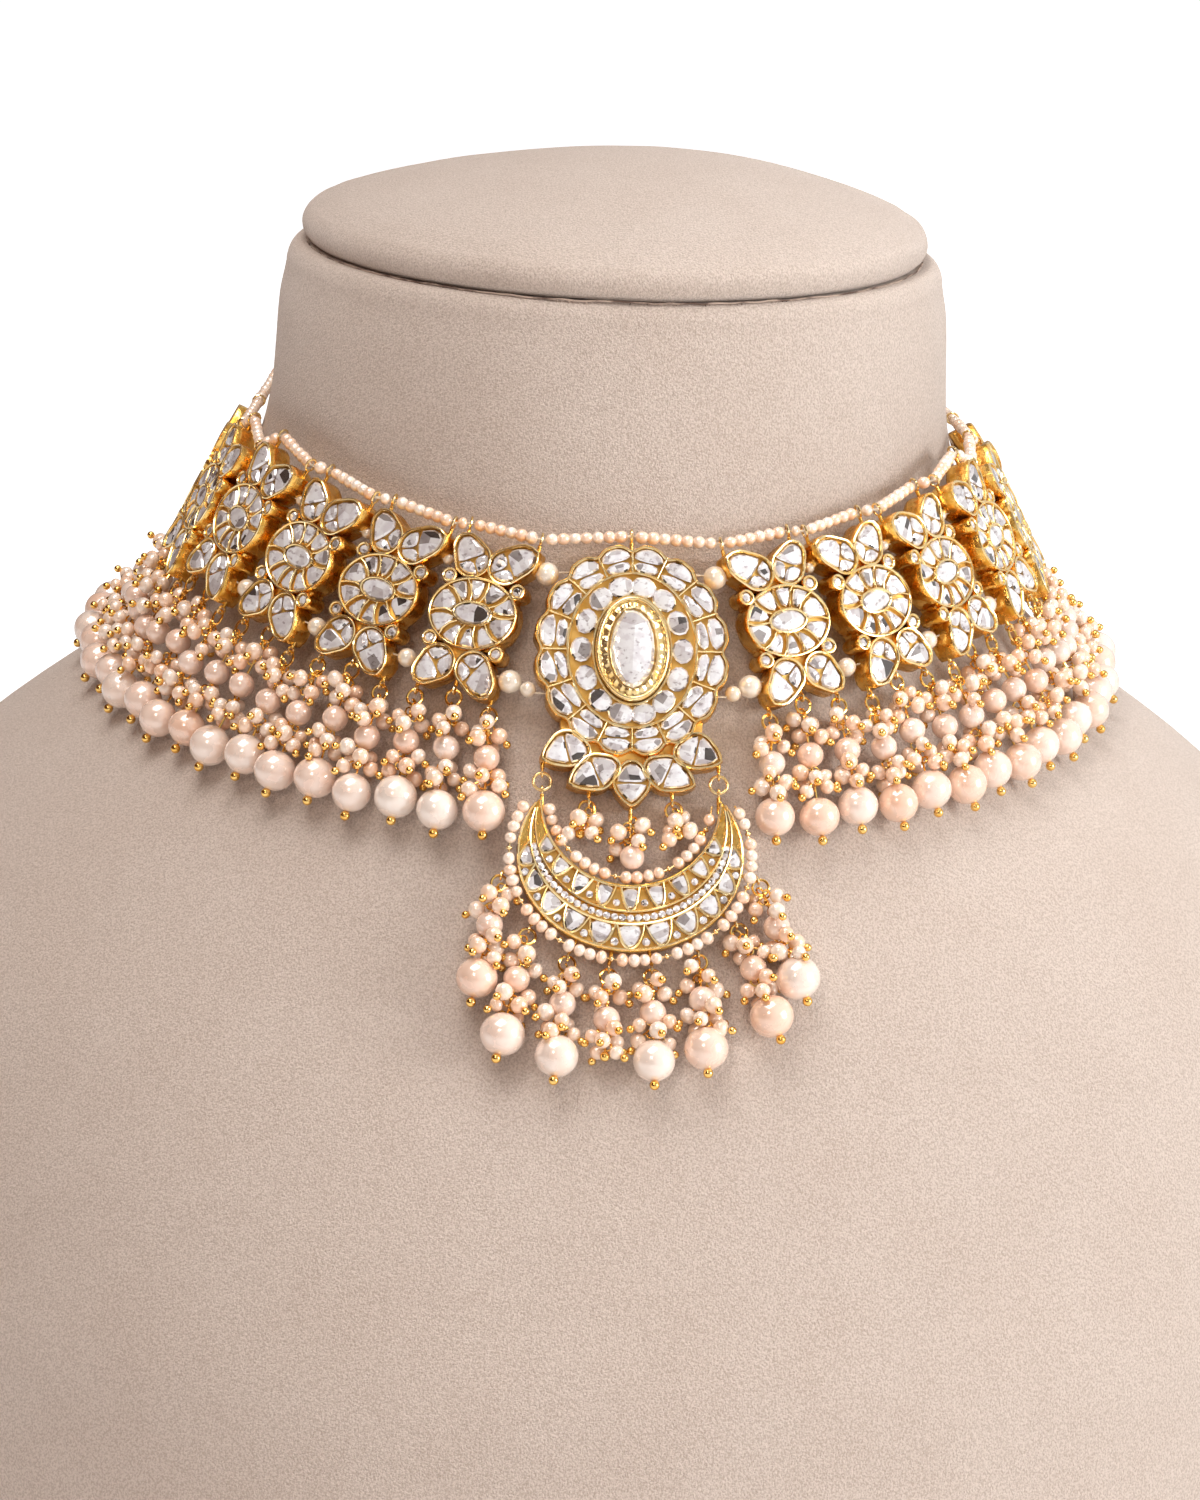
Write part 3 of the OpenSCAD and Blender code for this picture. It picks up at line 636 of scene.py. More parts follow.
class BeadTree(NodeTree):
    """Pearls and balls: one round bead at each point, turned along its thread and slightly uneven."""

    def __init__(self) -> None:
        """Builds the tree."""
        kinds = {"Segments": "Int", "Rings": "Int", "Unevenness": "Float", "Grain": "Float"}
        super().__init__("beads_on_points", **kinds, Finish="Material")
        start = self.start
        ball = self.node(
            "GeometryNodeMeshUVSphere", {"Radius": 1, "Segments": start["Segments"], "Rings": start["Rings"]}
        )
        axis = self.attribute("axis", "FLOAT_VECTOR")
        turn = self.node("FunctionNodeAlignRotationToVector", {"Vector": axis}, axis="Z")
        spots = {
            "Points": start["Geometry"],
            "Instance": ball.outputs["Mesh"],
            "Rotation": turn.outputs["Rotation"],
            "Scale": self.attribute("size", "FLOAT_VECTOR"),
        }
        place = self.node("GeometryNodeInstanceOnPoints", spots)
        real = self.node("GeometryNodeRealizeInstances", {"Geometry": place.outputs["Instances"]})
        pattern = self.node(
            "ShaderNodeTexNoise", {"Scale": start["Grain"], "Detail": 1}, noise_dimensions="3D"
        )
        middle = self.node(
            "ShaderNodeVectorMath", {0: pattern.outputs["Color"], 1: (0.5, 0.5, 0.5)}, operation="SUBTRACT"
        )
        amount = self.node(
            "ShaderNodeVectorMath",
            {"Vector": middle.outputs["Vector"], "Scale": start["Unevenness"]},
            operation="SCALE",
        )
        moved = {"Geometry": real.outputs["Geometry"], "Offset": amount.outputs["Vector"]}
        self.dress(self.node("GeometryNodeSetPosition", moved).outputs["Geometry"])

    def beads(
        self,
        beads: Sequence["Bead"],
        finish: Material,
        segments: int = 12,
        rings: int = 8,
        uneven: float = 0.0,
        grain: float = 1.6,
    ) -> Mesh:
        """Makes the beads of one kind.

        Args:
            beads: Places and sizes.
            finish: Their material.
            segments: Faces round a bead.
            rings: Faces from pole to pole.
            uneven: Largest unevenness in millimetres.
            grain: Size of the unevenness in millimetres.

        Returns:
            One plain mesh.
        """
        source = bpy.data.meshes.new("bead_places")
        centre = np.array(NECK.centre)
        source.from_pydata([tuple((b.at + centre) * MM) for b in beads], [], [])
        rows = {"axis": [b.axis for b in beads], "size": [np.array([b.r, b.r, b.half]) * MM for b in beads]}
        for name, values in rows.items():
            layer = source.attributes.new(name, "FLOAT_VECTOR", "POINT")
            layer.data.foreach_set("vector", np.array(values, np.float32).ravel())
        tone = source.attributes.new("tone", "FLOAT", "POINT")
        tone.data.foreach_set("value", np.array([b.tone for b in beads], np.float32))
        values = {
            "Segments": segments,
            "Rings": rings,
            "Unevenness": uneven * 2 * MM,
            "Grain": 1 / (grain * MM),
            "Finish": finish,
        }
        return self.made(source, values)


class WireTree(NodeTree):
    """Wires, rims and threads: a round bar along each path."""

    def __init__(self) -> None:
        """Builds the tree."""
        super().__init__("bars_along_paths", Radius="Float", Sides="Int", Finish="Material")
        start = self.start
        line = self.node("GeometryNodeMeshToCurve", {"Mesh": start["Geometry"]})
        profile = self.node(
            "GeometryNodeCurvePrimitiveCircle",
            {"Radius": start["Radius"], "Resolution": start["Sides"]},
            mode="RADIUS",
        )
        sweep = {"Curve": line.outputs["Curve"], "Profile Curve": profile.outputs["Curve"], "Fill Caps": True}
        bar = self.node("GeometryNodeCurveToMesh", sweep)
        real = self.node("GeometryNodeRealizeInstances", {"Geometry": bar.outputs["Mesh"]})
        self.dress(real.outputs["Geometry"])

    def bars(self, paths: Sequence["Path"], radius: float, finish: Material, sides: int = 6) -> Mesh:
        """Makes bars of one thickness.

        Args:
            paths: The paths that they follow.
            radius: Half the thickness in millimetres.
            finish: Their material.
            sides: Faces round a bar.

        Returns:
            One plain mesh.
        """
        source = bpy.data.meshes.new("paths")
        points, edges = [], []
        for path in paths:
            n, start = len(path.points), len(points)
            points += [tuple((p + np.array(NECK.centre)) * MM) for p in path.points]
            edges += [(start + i, start + (i + 1) % n) for i in range(n if path.closed else n - 1)]
        source.from_pydata(points, edges, [])
        return self.made(source, {"Radius": radius * MM, "Sides": sides, "Finish": finish})


@dataclass(frozen=True)
class Bead:
    """A round bead: its middle, radius, half length along its thread, the thread's direction and a tone."""

    at: Points
    r: float
    half: float
    axis: Points
    tone: float = 0.5


@dataclass(frozen=True)
class Path:
    """A path that a wire or rim follows."""

    points: Points
    closed: bool = False


class ShaderGroup(Nodes):
    """A shader node group that puts out colours, masks or heights."""

    def __init__(self, name: str, inputs: dict[str, object], outputs: dict[str, str]) -> None:
        """Starts a group.

        Args:
            name: Its name.
            inputs: Usual value of each input: a float, or a tuple of three for a vector or four for a colour.
            outputs: Type of each output.
        """
        super().__init__(bpy.data.node_groups.new(name, "ShaderNodeTree"))
        start, end = self.node("NodeGroupInput"), self.node("NodeGroupOutput")
        for key, value in inputs.items():
            kind = "Float" if isinstance(value, float) else {3: "Vector", 4: "Color"}[len(value)]
            made = self.tree.interface.new_socket(key, in_out="INPUT", socket_type="NodeSocket" + kind)
            made.default_value = value
        for key, kind in outputs.items():
            self.tree.interface.new_socket(key, in_out="OUTPUT", socket_type="NodeSocket" + kind)
        self.start, self.end = start.outputs, end.inputs
        self.where = self.node("ShaderNodeTexCoord").outputs["Object"]


def mottle_group() -> Tree:
    """Group that mixes two colours by soft noise over the surface.

    Returns:
        The node group, with outputs Color and Mask.
    """
    usual = {"Light": WHITE, "Dark": (0, 0, 0, 1), "Scale": 100.0, "Low": 0.3, "High": 0.7, "Stretch": (1, 1, 1)}
    g = ShaderGroup("mottle", usual, {"Color": "Color", "Mask": "Float"})
    drawn = g.node("ShaderNodeVectorMath", {0: g.where, 1: g.start["Stretch"]}, operation="MULTIPLY")
    cloud = g.node(
        "ShaderNodeTexNoise", {"Detail": 4, "Vector": drawn.outputs["Vector"], "Scale": g.start["Scale"]}
    )
    limits = {"Value": cloud.outputs["Fac"], "From Min": g.start["Low"], "From Max": g.start["High"]}
    mask = g.node("ShaderNodeMapRange", limits, interpolation_type="SMOOTHSTEP").outputs["Result"]
    colours = {"Factor": mask, 6: g.start["Light"], 7: g.start["Dark"]}
    mix = g.node("ShaderNodeMix", colours, data_type="RGBA")
    g.feed(mix.outputs[2], g.end["Color"])
    g.feed(mask, g.end["Mask"])
    return g.tree


def relief_group() -> Tree:
    """Group that adds coarse dents and fine grain into one height.

    Returns:
        The node group, with output Height.
    """
    usual = {"Dent Scale": 500.0, "Grain Scale": 3000.0, "Grain Share": 0.3}
    g = ShaderGroup("relief", usual, {"Height": "Float"})
    dents, grain = (
        g.node("ShaderNodeTexNoise", {"Detail": detail, "Vector": g.where, "Scale": g.start[name]})
        for name, detail in (("Dent Scale", 2), ("Grain Scale", 3))
    )
    fine = {0: grain.outputs["Fac"], 1: g.start["Grain Share"]}
    share = g.node("ShaderNodeMath", fine, operation="MULTIPLY")
    total = g.node("ShaderNodeMath", {0: dents.outputs["Fac"], 1: share.outputs[0]}, operation="ADD")
    g.feed(total.outputs[0], g.end["Height"])
    return g.tree


class Finish(Nodes):
    """A material in the making: its shader and the group nodes that feed it."""

    groups: dict[str, Tree] = {}

    def __init__(self, name: str, **constants: object) -> None:
        """Starts a material with constants on its shader's own sockets."""
        self.material = bpy.data.materials.new(name)
        self.material.use_nodes = True
        super().__init__(self.material.node_tree)
        self.shader = self.tree.nodes["Principled BSDF"].inputs
        for key, value in constants.items():
            self.shader[key.replace("_", " ")].default_value = value

    def group(self, name: str, inputs: dict[str, object]) -> Outputs:
        """Places a shared group with its own values, and gives its outputs."""
        if name not in Finish.groups:
            Finish.groups[name] = {"mottle": mottle_group, "relief": relief_group}[name]()
        return self.node("ShaderNodeGroup", inputs, node_tree=Finish.groups[name]).outputs

    def mottle(
        self,
        light: Colour,
        dark: Colour,
        scale: float,
        limits: Pair = (0.3, 0.7),
        stretch: Triple = (1, 1, 1),
    ) -> Outputs:
        """Two colours mixed by soft noise.

        Args:
            light: Colour below the lower limit.
            dark: Colour above the upper limit.
            scale: Scale of the noise for each metre.
            limits: The two limits of the noise.
            stretch: Scale along each axis.

        Returns:
            The outputs Color and Mask.
        """
        low, high = limits
        values = {"Light": light, "Dark": dark, "Scale": scale, "Low": low, "High": high, "Stretch": stretch}
        return self.group("mottle", values)

    def multiply(self, a: Socket, b: Socket, share: float) -> Socket:
        """Product of two colours, mixed in by a share."""
        both = {"Factor": share, 6: a, 7: b}
        return self.node("ShaderNodeMix", both, data_type="RGBA", blend_type="MULTIPLY").outputs[2]

    def colour(self, socket: Socket) -> None:
        """Feeds the base colour."""
        self.feed(socket, self.shader["Base Color"])

    def roughness(self, mask: Socket, low: float, high: float) -> None:
        """Feeds the roughness from a mask, between two values."""
        spread = self.node("ShaderNodeMapRange", {"To Min": low, "To Max": high, "Value": mask})
        self.feed(spread.outputs["Result"], self.shader["Roughness"])

    def relief(self, dents: float, grain: float, share: float, strength: float, distance: float) -> None:
        """Feeds the normal from coarse dents and fine grain.

        Args:
            dents: Scale of the dents for each metre.
            grain: Scale of the grain for each metre.
            share: Share of the grain.
            strength: Strength of the bump.
            distance: Height of the bump in millimetres.
        """
        values = {"Dent Scale": dents, "Grain Scale": grain, "Grain Share": share}
        height = self.group("relief", values)["Height"]
        high = {"Strength": strength, "Distance": distance * MM, "Height": height}
        bump = self.node("ShaderNodeBump", high)
        self.feed(bump.outputs["Normal"], self.shader["Normal"])

    def tone_ramp(self, stops: Stops, steps: bool = False) -> Socket:
        """Colours by the tone of each face.

        Args:
            stops: Positions and colours.
            steps: Whether the colours change in steps.

        Returns:
            The colour.
        """
        tone = self.node("ShaderNodeAttribute", attribute_name="tone")
        ramp = self.node("ShaderNodeValToRGB")
        ramp.color_ramp.interpolation = "CONSTANT" if steps else "LINEAR"
        while len(ramp.color_ramp.elements) < len(stops):
            ramp.color_ramp.elements.new(0.5)
        for element, (at, colour) in zip(ramp.color_ramp.elements, stops):
            element.position = at
            element.color = (*colour, 1)
        self.feed(tone.outputs["Fac"], ramp.inputs["Fac"])
        return ramp.outputs["Color"]


@dataclass(frozen=True)
class Suede:
    """Short-napped beige suede cloth, brushed downwards."""

    light: Colour = (0.635, 0.53, 0.457, 1)
    dark: Colour = (0.605, 0.496, 0.422, 1)
    fleck: Colour = (0.68, 0.64, 0.6, 1)
    sheen: Colour = (1, 0.95, 0.9, 1)

    def material(self) -> Material:
        """Makes the material."""
        f = Finish("bust_suede_cloth", Roughness=0.92, Sheen_Weight=0.3, Sheen_Roughness=0.5)
        f.shader["Sheen Tint"].default_value = self.sheen
        cloud = f.mottle(self.light, self.dark, scale=60, limits=(0.2, 0.85))
        nap = f.mottle(WHITE, self.fleck, scale=3300, limits=(0.4, 0.62), stretch=(1, 1, 0.85))
        f.colour(f.multiply(cloud["Color"], nap["Color"], share=0.75))
        f.relief(dents=2600, grain=5200, share=0.6, strength=0.75, distance=0.3)
        return f.material


@dataclass(frozen=True)
class SeamShadow:
    """Dark ring under the cap: mostly a painted shadow of the gap where the cap meets the bust, partly the
    seam's ragged cloth.
    """

    light: Colour = (0.5, 0.38, 0.3, 1)
    dark: Colour = (0.12, 0.07, 0.05, 1)

    def material(self) -> Material:
        """Makes the material."""
        f = Finish("seam_thread", Roughness=0.85)
        f.colour(f.mottle(self.light, self.dark, scale=260, limits=(0.42, 0.6))["Color"])
        f.relief(dents=1500, grain=4000, share=0.5, strength=0.5, distance=0.2)
        return f.material


@dataclass(frozen=True)
class Gold:
    """High-carat gold, hammered on the walls."""

    name: str = "hammered_gold"
    light: Colour = (0.98, 0.62, 0.17, 1)
    dark: Colour = (0.68, 0.33, 0.04, 1)
    rough: Pair = (0.16, 0.36)
    dents: float = 0.5
    dent_depth: float = 0.35
    metal: float = 1.0

    def material(self) -> Material:
        """Makes the material."""
        f = Finish(self.name, Metallic=self.metal)
        cloud = f.mottle(self.light, self.dark, scale=520, limits=(0.35, 0.72))
        f.colour(cloud["Color"])
        f.roughness(cloud["Mask"], *self.rough)
        f.relief(dents=750, grain=2600, share=0.25, strength=self.dents, distance=self.dent_depth)
        return f.material


@dataclass(frozen=True)
class FoilStone:
    """Flat uncut stone with silver foil behind it: each facet's base colour is a painted reflection, light or
    dark, stepped by its tone.
    """

    # Greys by facet tone, from near black to white: painted reflections of dark and light surroundings.
    stops: Stops = (
        (0.0, (0.08, 0.065, 0.055)), (0.08, (0.36, 0.32, 0.3)), (0.19, (0.66, 0.61, 0.59)),
        (0.38, (0.85, 0.82, 0.8)), (0.6, (0.98, 0.97, 0.965)),
    )
    haze: Colour = (0.8, 0.76, 0.78, 1)
    fold: Colour = (0.55, 0.5, 0.5, 1)

    def material(self) -> Material:
        """Makes the material."""
        f = Finish("foil_backed_stone", Metallic=0.3, Coat_Weight=1.0, Coat_Roughness=0.02, IOR=1.75)
        haze = f.mottle(WHITE, self.haze, scale=700, limits=(0.42, 0.66))
        folds = f.mottle(WHITE, self.fold, scale=1100, limits=(0.58, 0.64), stretch=(1, 0.5, 1.6))
        # The stepped greys are painted reflections, misted by random haze and foil folds.
        misted = f.multiply(f.tone_ramp(self.stops, steps=True), haze["Color"], share=0.9)
        f.colour(f.multiply(misted, folds["Color"], share=0.85))
        f.roughness(haze["Mask"], low=0.05, high=0.2)
        f.relief(dents=600, grain=1500, share=0.15, strength=0.35, distance=0.16)
        return f.material


@dataclass(frozen=True)
class Nacre:
    """Cream to peach pearl, with a soft coat."""

    name: str = "peach_nacre"
    stops: Stops = (
        (0.0, (0.93, 0.59, 0.41)), (0.35, (0.94, 0.68, 0.53)), (0.7, (0.95, 0.75, 0.63)),
        (1.0, (0.95, 0.83, 0.73)),
    )
    dents: float = 0.25
    haze: Colour = (0.97, 0.87, 0.81, 1)

    def material(self) -> Material:
        """Makes the material."""
        f = Finish(self.name, Coat_Weight=1.0, Coat_Roughness=0.06, Coat_IOR=1.9, Metallic=0.12)
        haze = f.mottle(WHITE, self.haze, scale=420, limits=(0.3, 0.75))
        f.colour(f.multiply(f.tone_ramp(self.stops), haze["Color"], share=0.9))
        f.roughness(haze["Mask"], low=0.2, high=0.34)
        f.relief(dents=450, grain=1500, share=0.2, strength=self.dents, distance=0.1)
        return f.material


@dataclass(frozen=True)
class Silk:
    """Twisted off-white thread."""

    light: Colour = (0.8, 0.7, 0.55, 1)
    dark: Colour = (0.55, 0.42, 0.28, 1)

    def material(self) -> Material:
        """Makes the material."""
        f = Finish("silk_thread", Roughness=0.6, Sheen_Weight=0.3)
        f.colour(f.mottle(self.light, self.dark, scale=1600, limits=(0.35, 0.7))["Color"])
        f.relief(dents=2500, grain=6000, share=0.4, strength=0.5, distance=0.12)
        return f.material


# A paler, lit copy of the gold for rims, ridges, bezel, eyes and ties: painted highlight.
LIT_RIM_GOLD = Gold(
    "bright_gold_rim",
    light=(1.0, 0.8, 0.43, 1),
    dark=(0.95, 0.63, 0.22, 1),
    rough=(0.14, 0.28),
    dents=0.2,
    dent_depth=0.12,
    metal=0.92,
)
WIRE_GOLD = Gold(
    "drawn_gold_wire",
    light=(1.0, 0.68, 0.22, 1),
    dark=(0.88, 0.47, 0.09, 1),
    rough=(0.1, 0.22),
    dents=0.15,
    dent_depth=0.1,
)
# Darker, less metallic gold for cell floors and the plates between cups: painted shade in the recesses.
SHADED_RECESS_GOLD = Gold(
    "mustard_recess",
    light=(0.8, 0.48, 0.125, 1),
    dark=(0.6, 0.33, 0.06, 1),
    rough=(0.38, 0.55),
    dents=0.35,
    dent_depth=0.15,
    metal=0.55,
)
SEED = Nacre(
    "seed_nacre",
    stops=((0.0, (0.98, 0.65, 0.44)), (0.5, (0.98, 0.77, 0.6)), (1.0, (0.98, 0.87, 0.75))),
    dents=0.15,
)
IVORY = Nacre(
    "ivory_nacre",
    stops=((0.0, (0.84, 0.66, 0.46)), (0.5, (0.87, 0.76, 0.6)), (1.0, (0.88, 0.81, 0.69))),
    dents=0.08,
)


@dataclass
class Palette:
    """All finishes and the two node trees, made once."""

    suede: Material = field(default_factory=Suede().material)
    seam: Material = field(default_factory=SeamShadow().material)
    gold: Material = field(default_factory=Gold().material)
    rim: Material = field(default_factory=LIT_RIM_GOLD.material)
    shaded_recess: Material = field(default_factory=SHADED_RECESS_GOLD.material)
    wire: Material = field(default_factory=WIRE_GOLD.material)
    stone: Material = field(default_factory=FoilStone().material)
    pearl: Material = field(default_factory=Nacre().material)
    ivory: Material = field(default_factory=IVORY.material)
    seed: Material = field(default_factory=SEED.material)
    silk: Material = field(default_factory=Silk().material)
    beads: BeadTree = field(default_factory=BeadTree)
    wires: WireTree = field(default_factory=WireTree)


@dataclass(frozen=True)
class Cut:
    """How a stone is cut: height of its girdle, rise of its ridge above that, and width of its bevel."""

    girdle: float
    rise: float
    bevel: float = 0.26


class StoneCutter:
    """Cuts irregular flat stones: a girdle, a bevel and a low roof of a few broad facets, each face with a tone
    that its material paints as a reflection.
    """

    def __init__(self, seed: int) -> None:
        """Starts with a fixed seed."""
        self.random = np.random.default_rng(seed)

    def ridge(self, edge: Points) -> tuple[Points, Points]:
        """Ends of a roof ridge near the long axis of an outline."""
        middle = edge.mean(0)
        u = (turn_z(self.random.uniform(-25, 25)) @ vec(*np.linalg.svd(edge - middle)[2][0], 0))[:2]
        reach = float(np.max((edge - middle) @ u)) * self.random.uniform(0.15, 0.45)
        top = middle + self.random.uniform(-0.1, 0.1, 2) * np.ptp(edge, axis=0)
        return top - u * reach, top + u * reach

    def cut(
        self,
        pile: MeshPile,
        place: Place,
        outline: Points,
        floor: float,
        cut: Cut,
        ridge: tuple[Points, Points] | None = None,
        tones: Sequence[float] | None = None,
    ) -> None:
        """Adds one stone.

        Args:
            pile: Where its shell goes.
            place: The frame that it is set in.
            outline: Its girdle seen from above, anticlockwise.
            floor: Height of its base in that frame.
            cut: Heights of its girdle and ridge, and its bevel.
            ridge: Ends of its ridge, or none for any.
            tones: Painted reflections of its left, right, near and far facets, as tones, or none for any.
        """
        n, middle = len(outline), outline.mean(0)
        edge = middle + (outline - middle) * (1 + self.random.uniform(-0.03, 0.03, (n, 1)))
        girdle, rise = cut.girdle, cut.rise
        table = drawn_in(edge, cut.bevel)
        a, b = self.ridge(edge) if ridge is None else ridge
        u, long = unit(b - a), float(np.linalg.norm(b - a))
        # One tone for each side of the roof: the painted reflection that its facets show.
        painted_side_reflections = self.random.random(4) ** 0.85 if tones is None else tones
        tops = np.array([[*a, girdle + rise * 0.92], [*b, girdle + rise]])
        base, belt = lifted(drawn_in(edge, 0.08), floor), lifted(edge, girdle)
        points = np.vstack([base, belt, lifted(table, girdle + rise * 0.6), tops])
        end = [int((p - (a + b) / 2) @ u > 0) for p in table]
        faces: list[tuple[int, ...]] = [tuple(range(n - 1, -1, -1))]
        # Tones of the faces: base and girdle wall a fixed grey, a painted reflection at the stone's edge; bevel
        # at random; roof by its side.
        painted_facet_reflections = [0.2]
        for j in range(n):
            k = (j + 1) % n
            faces += [(j, k, n + k, n + j), (n + j, n + k, 2 * n + k, 2 * n + j)]
            tip = (3 * n + end[k],) if end[j] == end[k] else (3 * n + end[k], 3 * n + end[j])
            faces.append((2 * n + j, 2 * n + k, *tip))
            p = (table[j] + table[k]) / 2 - a
            along = p @ u
            if along < -0.1 * long:
                side = 2
            elif along > 1.1 * long:
                side = 3
            else:
                side = int(u[0] * p[1] < u[1] * p[0])
            painted_facet_reflections += [0.2, float(self.random.random() ** 0.8), float(painted_side_reflections[side])]
        pile.add(place.put(points), faces, 0, True, painted_facet_reflections)


@dataclass
class Bust:
    """The covered neck bust and its padded cap, with a dark ring between them that is mostly painted shadow."""

    palette: Palette
    cap_r: float = 51.7
    cap_h: float = 15.2
    cap_edge: float = 3
    fullness: float = 0.76
    lean: float = 1.1
    lean_r: float = 25
    roll_from: float = -70
    roll_to: float = 73
    seat_gap: float = 0.25
    cloth_wave: float = 0.16
    waves_round: float = 4
    waves_up: float = 0.2
    chest_top: float = -80
    neck_foot: float = -78
    lip_from: float = 33
    lip_in: float = 2.2
    lip_start: float = 12
    lip_gap: float = 0.05
    foot_round: float = 2.5
    foot_half: float = 130
    # The dark ring and tufts under the cap: mostly painted shadow.
    seam_r: float = 0.14
    seam_in: float = 0.75
    seam_up: float = 0.18
    seam_wave: Pair = (0.12, 0.25)
    tuft_r: float = 0.09
    tuft_out: float = 0.6
    tuft_down: Pair = (0.2, 0.7)

    def cover(self) -> None:
        """Builds the bust as smooth rows of skin with a rounded top edge."""
        pile = MeshPile()
        angles = np.arange(0, 360, 2.0)
        chest = np.linspace(NECK.foot, self.chest_top, 28)
        heights = np.concatenate([chest, np.linspace(self.neck_foot, self.lip_from, 75)])
        rings = [np.array([NECK.skin(t, v) for t in angles]) for v in heights]
        foot, last = rings[0].copy(), rings[-1]
        foot[:, :2] *= 1 - self.foot_round / self.foot_half
        rings[0][:, 2] += self.foot_round
        flat = last * vec(1, 1, 0)
        out = flat / np.linalg.norm(flat, axis=1)[:, None]
        high = NECK.top - self.lip_gap - self.lip_from
        for q in np.linspace(self.lip_start, 90, 8):
            rings.append(last - out * self.lip_in * (1 - cos(q)) + vec(0, 0, high * sin(q)))
        pile.loft([foot, *rings])
        pile.piece("bust_cover", [self.palette.suede], Slot.SUEDE, ["bust"])

    def cap_rows(self) -> list[Pair]:
        """Radius and height of each row of the cap, from the rolled edge to the crown."""
        crown = self.cap_r - self.cap_edge
        roll = np.linspace(self.roll_from, self.roll_to, 14)
        rows = [(crown + self.cap_edge * cos(q), self.cap_edge * (1 + sin(q))) for q in roll]
        edge_r, edge_z = rows[-1]
        for f in np.linspace(0.04, 0.985, 22):
            rows.append((edge_r * (1 - f), edge_z + (self.cap_h - edge_z) * sin(90 * f) ** self.fullness))
        return rows

    def cap(self) -> None:
        """Builds the padded cap, whose edge rolls in under it at the seam."""
        pile, rows = MeshPile(), self.cap_rows()
        crown = self.cap_r - self.cap_edge
        edge_z = self.cap_edge * (1 + sin(self.roll_to))
        angles = np.arange(0, 360, 2.25)
        base = vec(0, self.middle(), NECK.top + self.seat_gap - rows[0][1])
        round_x, round_y = self.waves_round * cos(angles), self.waves_round * sin(angles)
        rings = []
        for r, z in rows:
            cloth = [noise.noise(Vector((x, y, z * self.waves_up))) for x, y in zip(round_x, round_y)]
            soft = np.array(cloth) * self.cloth_wave * r / crown
            tip = self.lean * max(0.0, z - edge_z) / (self.cap_h - edge_z) * min(1.0, r / self.lean_r)
            rise = z + soft + tip * sin(angles)
            rings.append(np.stack([(r + soft) * sin(angles), -(r + soft) * cos(angles), rise], 1) + base)
        pile.loft(rings)
        cap = pile.piece("bust_cap_cushion", [self.palette.suede], Slot.SUEDE, ["bust_cap"])

    def middle(self) -> float:
        """Depth of the middle of the neck's top."""
        return float(NECK.value(NECK.top, 4) - NECK.value(NECK.top, 3)) / 2

    def seam(self) -> None:
        """Builds the dark ring under the cap's edge, a little ragged, with short tufts: mostly a painted shadow
        of the gap, partly the seam's ragged cloth.
        """
        angles = np.arange(0, 360, 1.0)
        wave = np.array([noise.noise(Vector((t * 0.31, 4.2, 0))) for t in angles])
        across, up = self.seam_wave
        r = self.cap_r - self.seam_in + across * wave
        z = NECK.top + self.seam_up + up * np.roll(wave, 7)
        ring = np.stack([r * sin(angles), self.middle() - r * cos(angles), z], 1)
        base, share = self.tuft_down
        tufts = []
        for i, t in enumerate(angles):
            if wave[i] > 0.02:
                side = vec(cos(t), sin(t), 0) * (0.5 - i % 3 * 0.45)
                tip = ring[i] + side * self.tuft_out + vec(0, 0, -base - wave[i] * share)
                tufts.append(Path(np.array([ring[i], tip])))
        bars, seam = self.palette.wires.bars, self.palette.seam
        meshes = [bars([Path(ring, True)], self.seam_r, seam, 8), bars(tufts, self.tuft_r, seam, 4)]
        piece_of("cap_seam", seam, Slot.SUEDE, (), meshes)

    def build(self) -> None:
        """Builds all pieces of the bust."""
        self.cover()
        self.cap()
        self.seam()


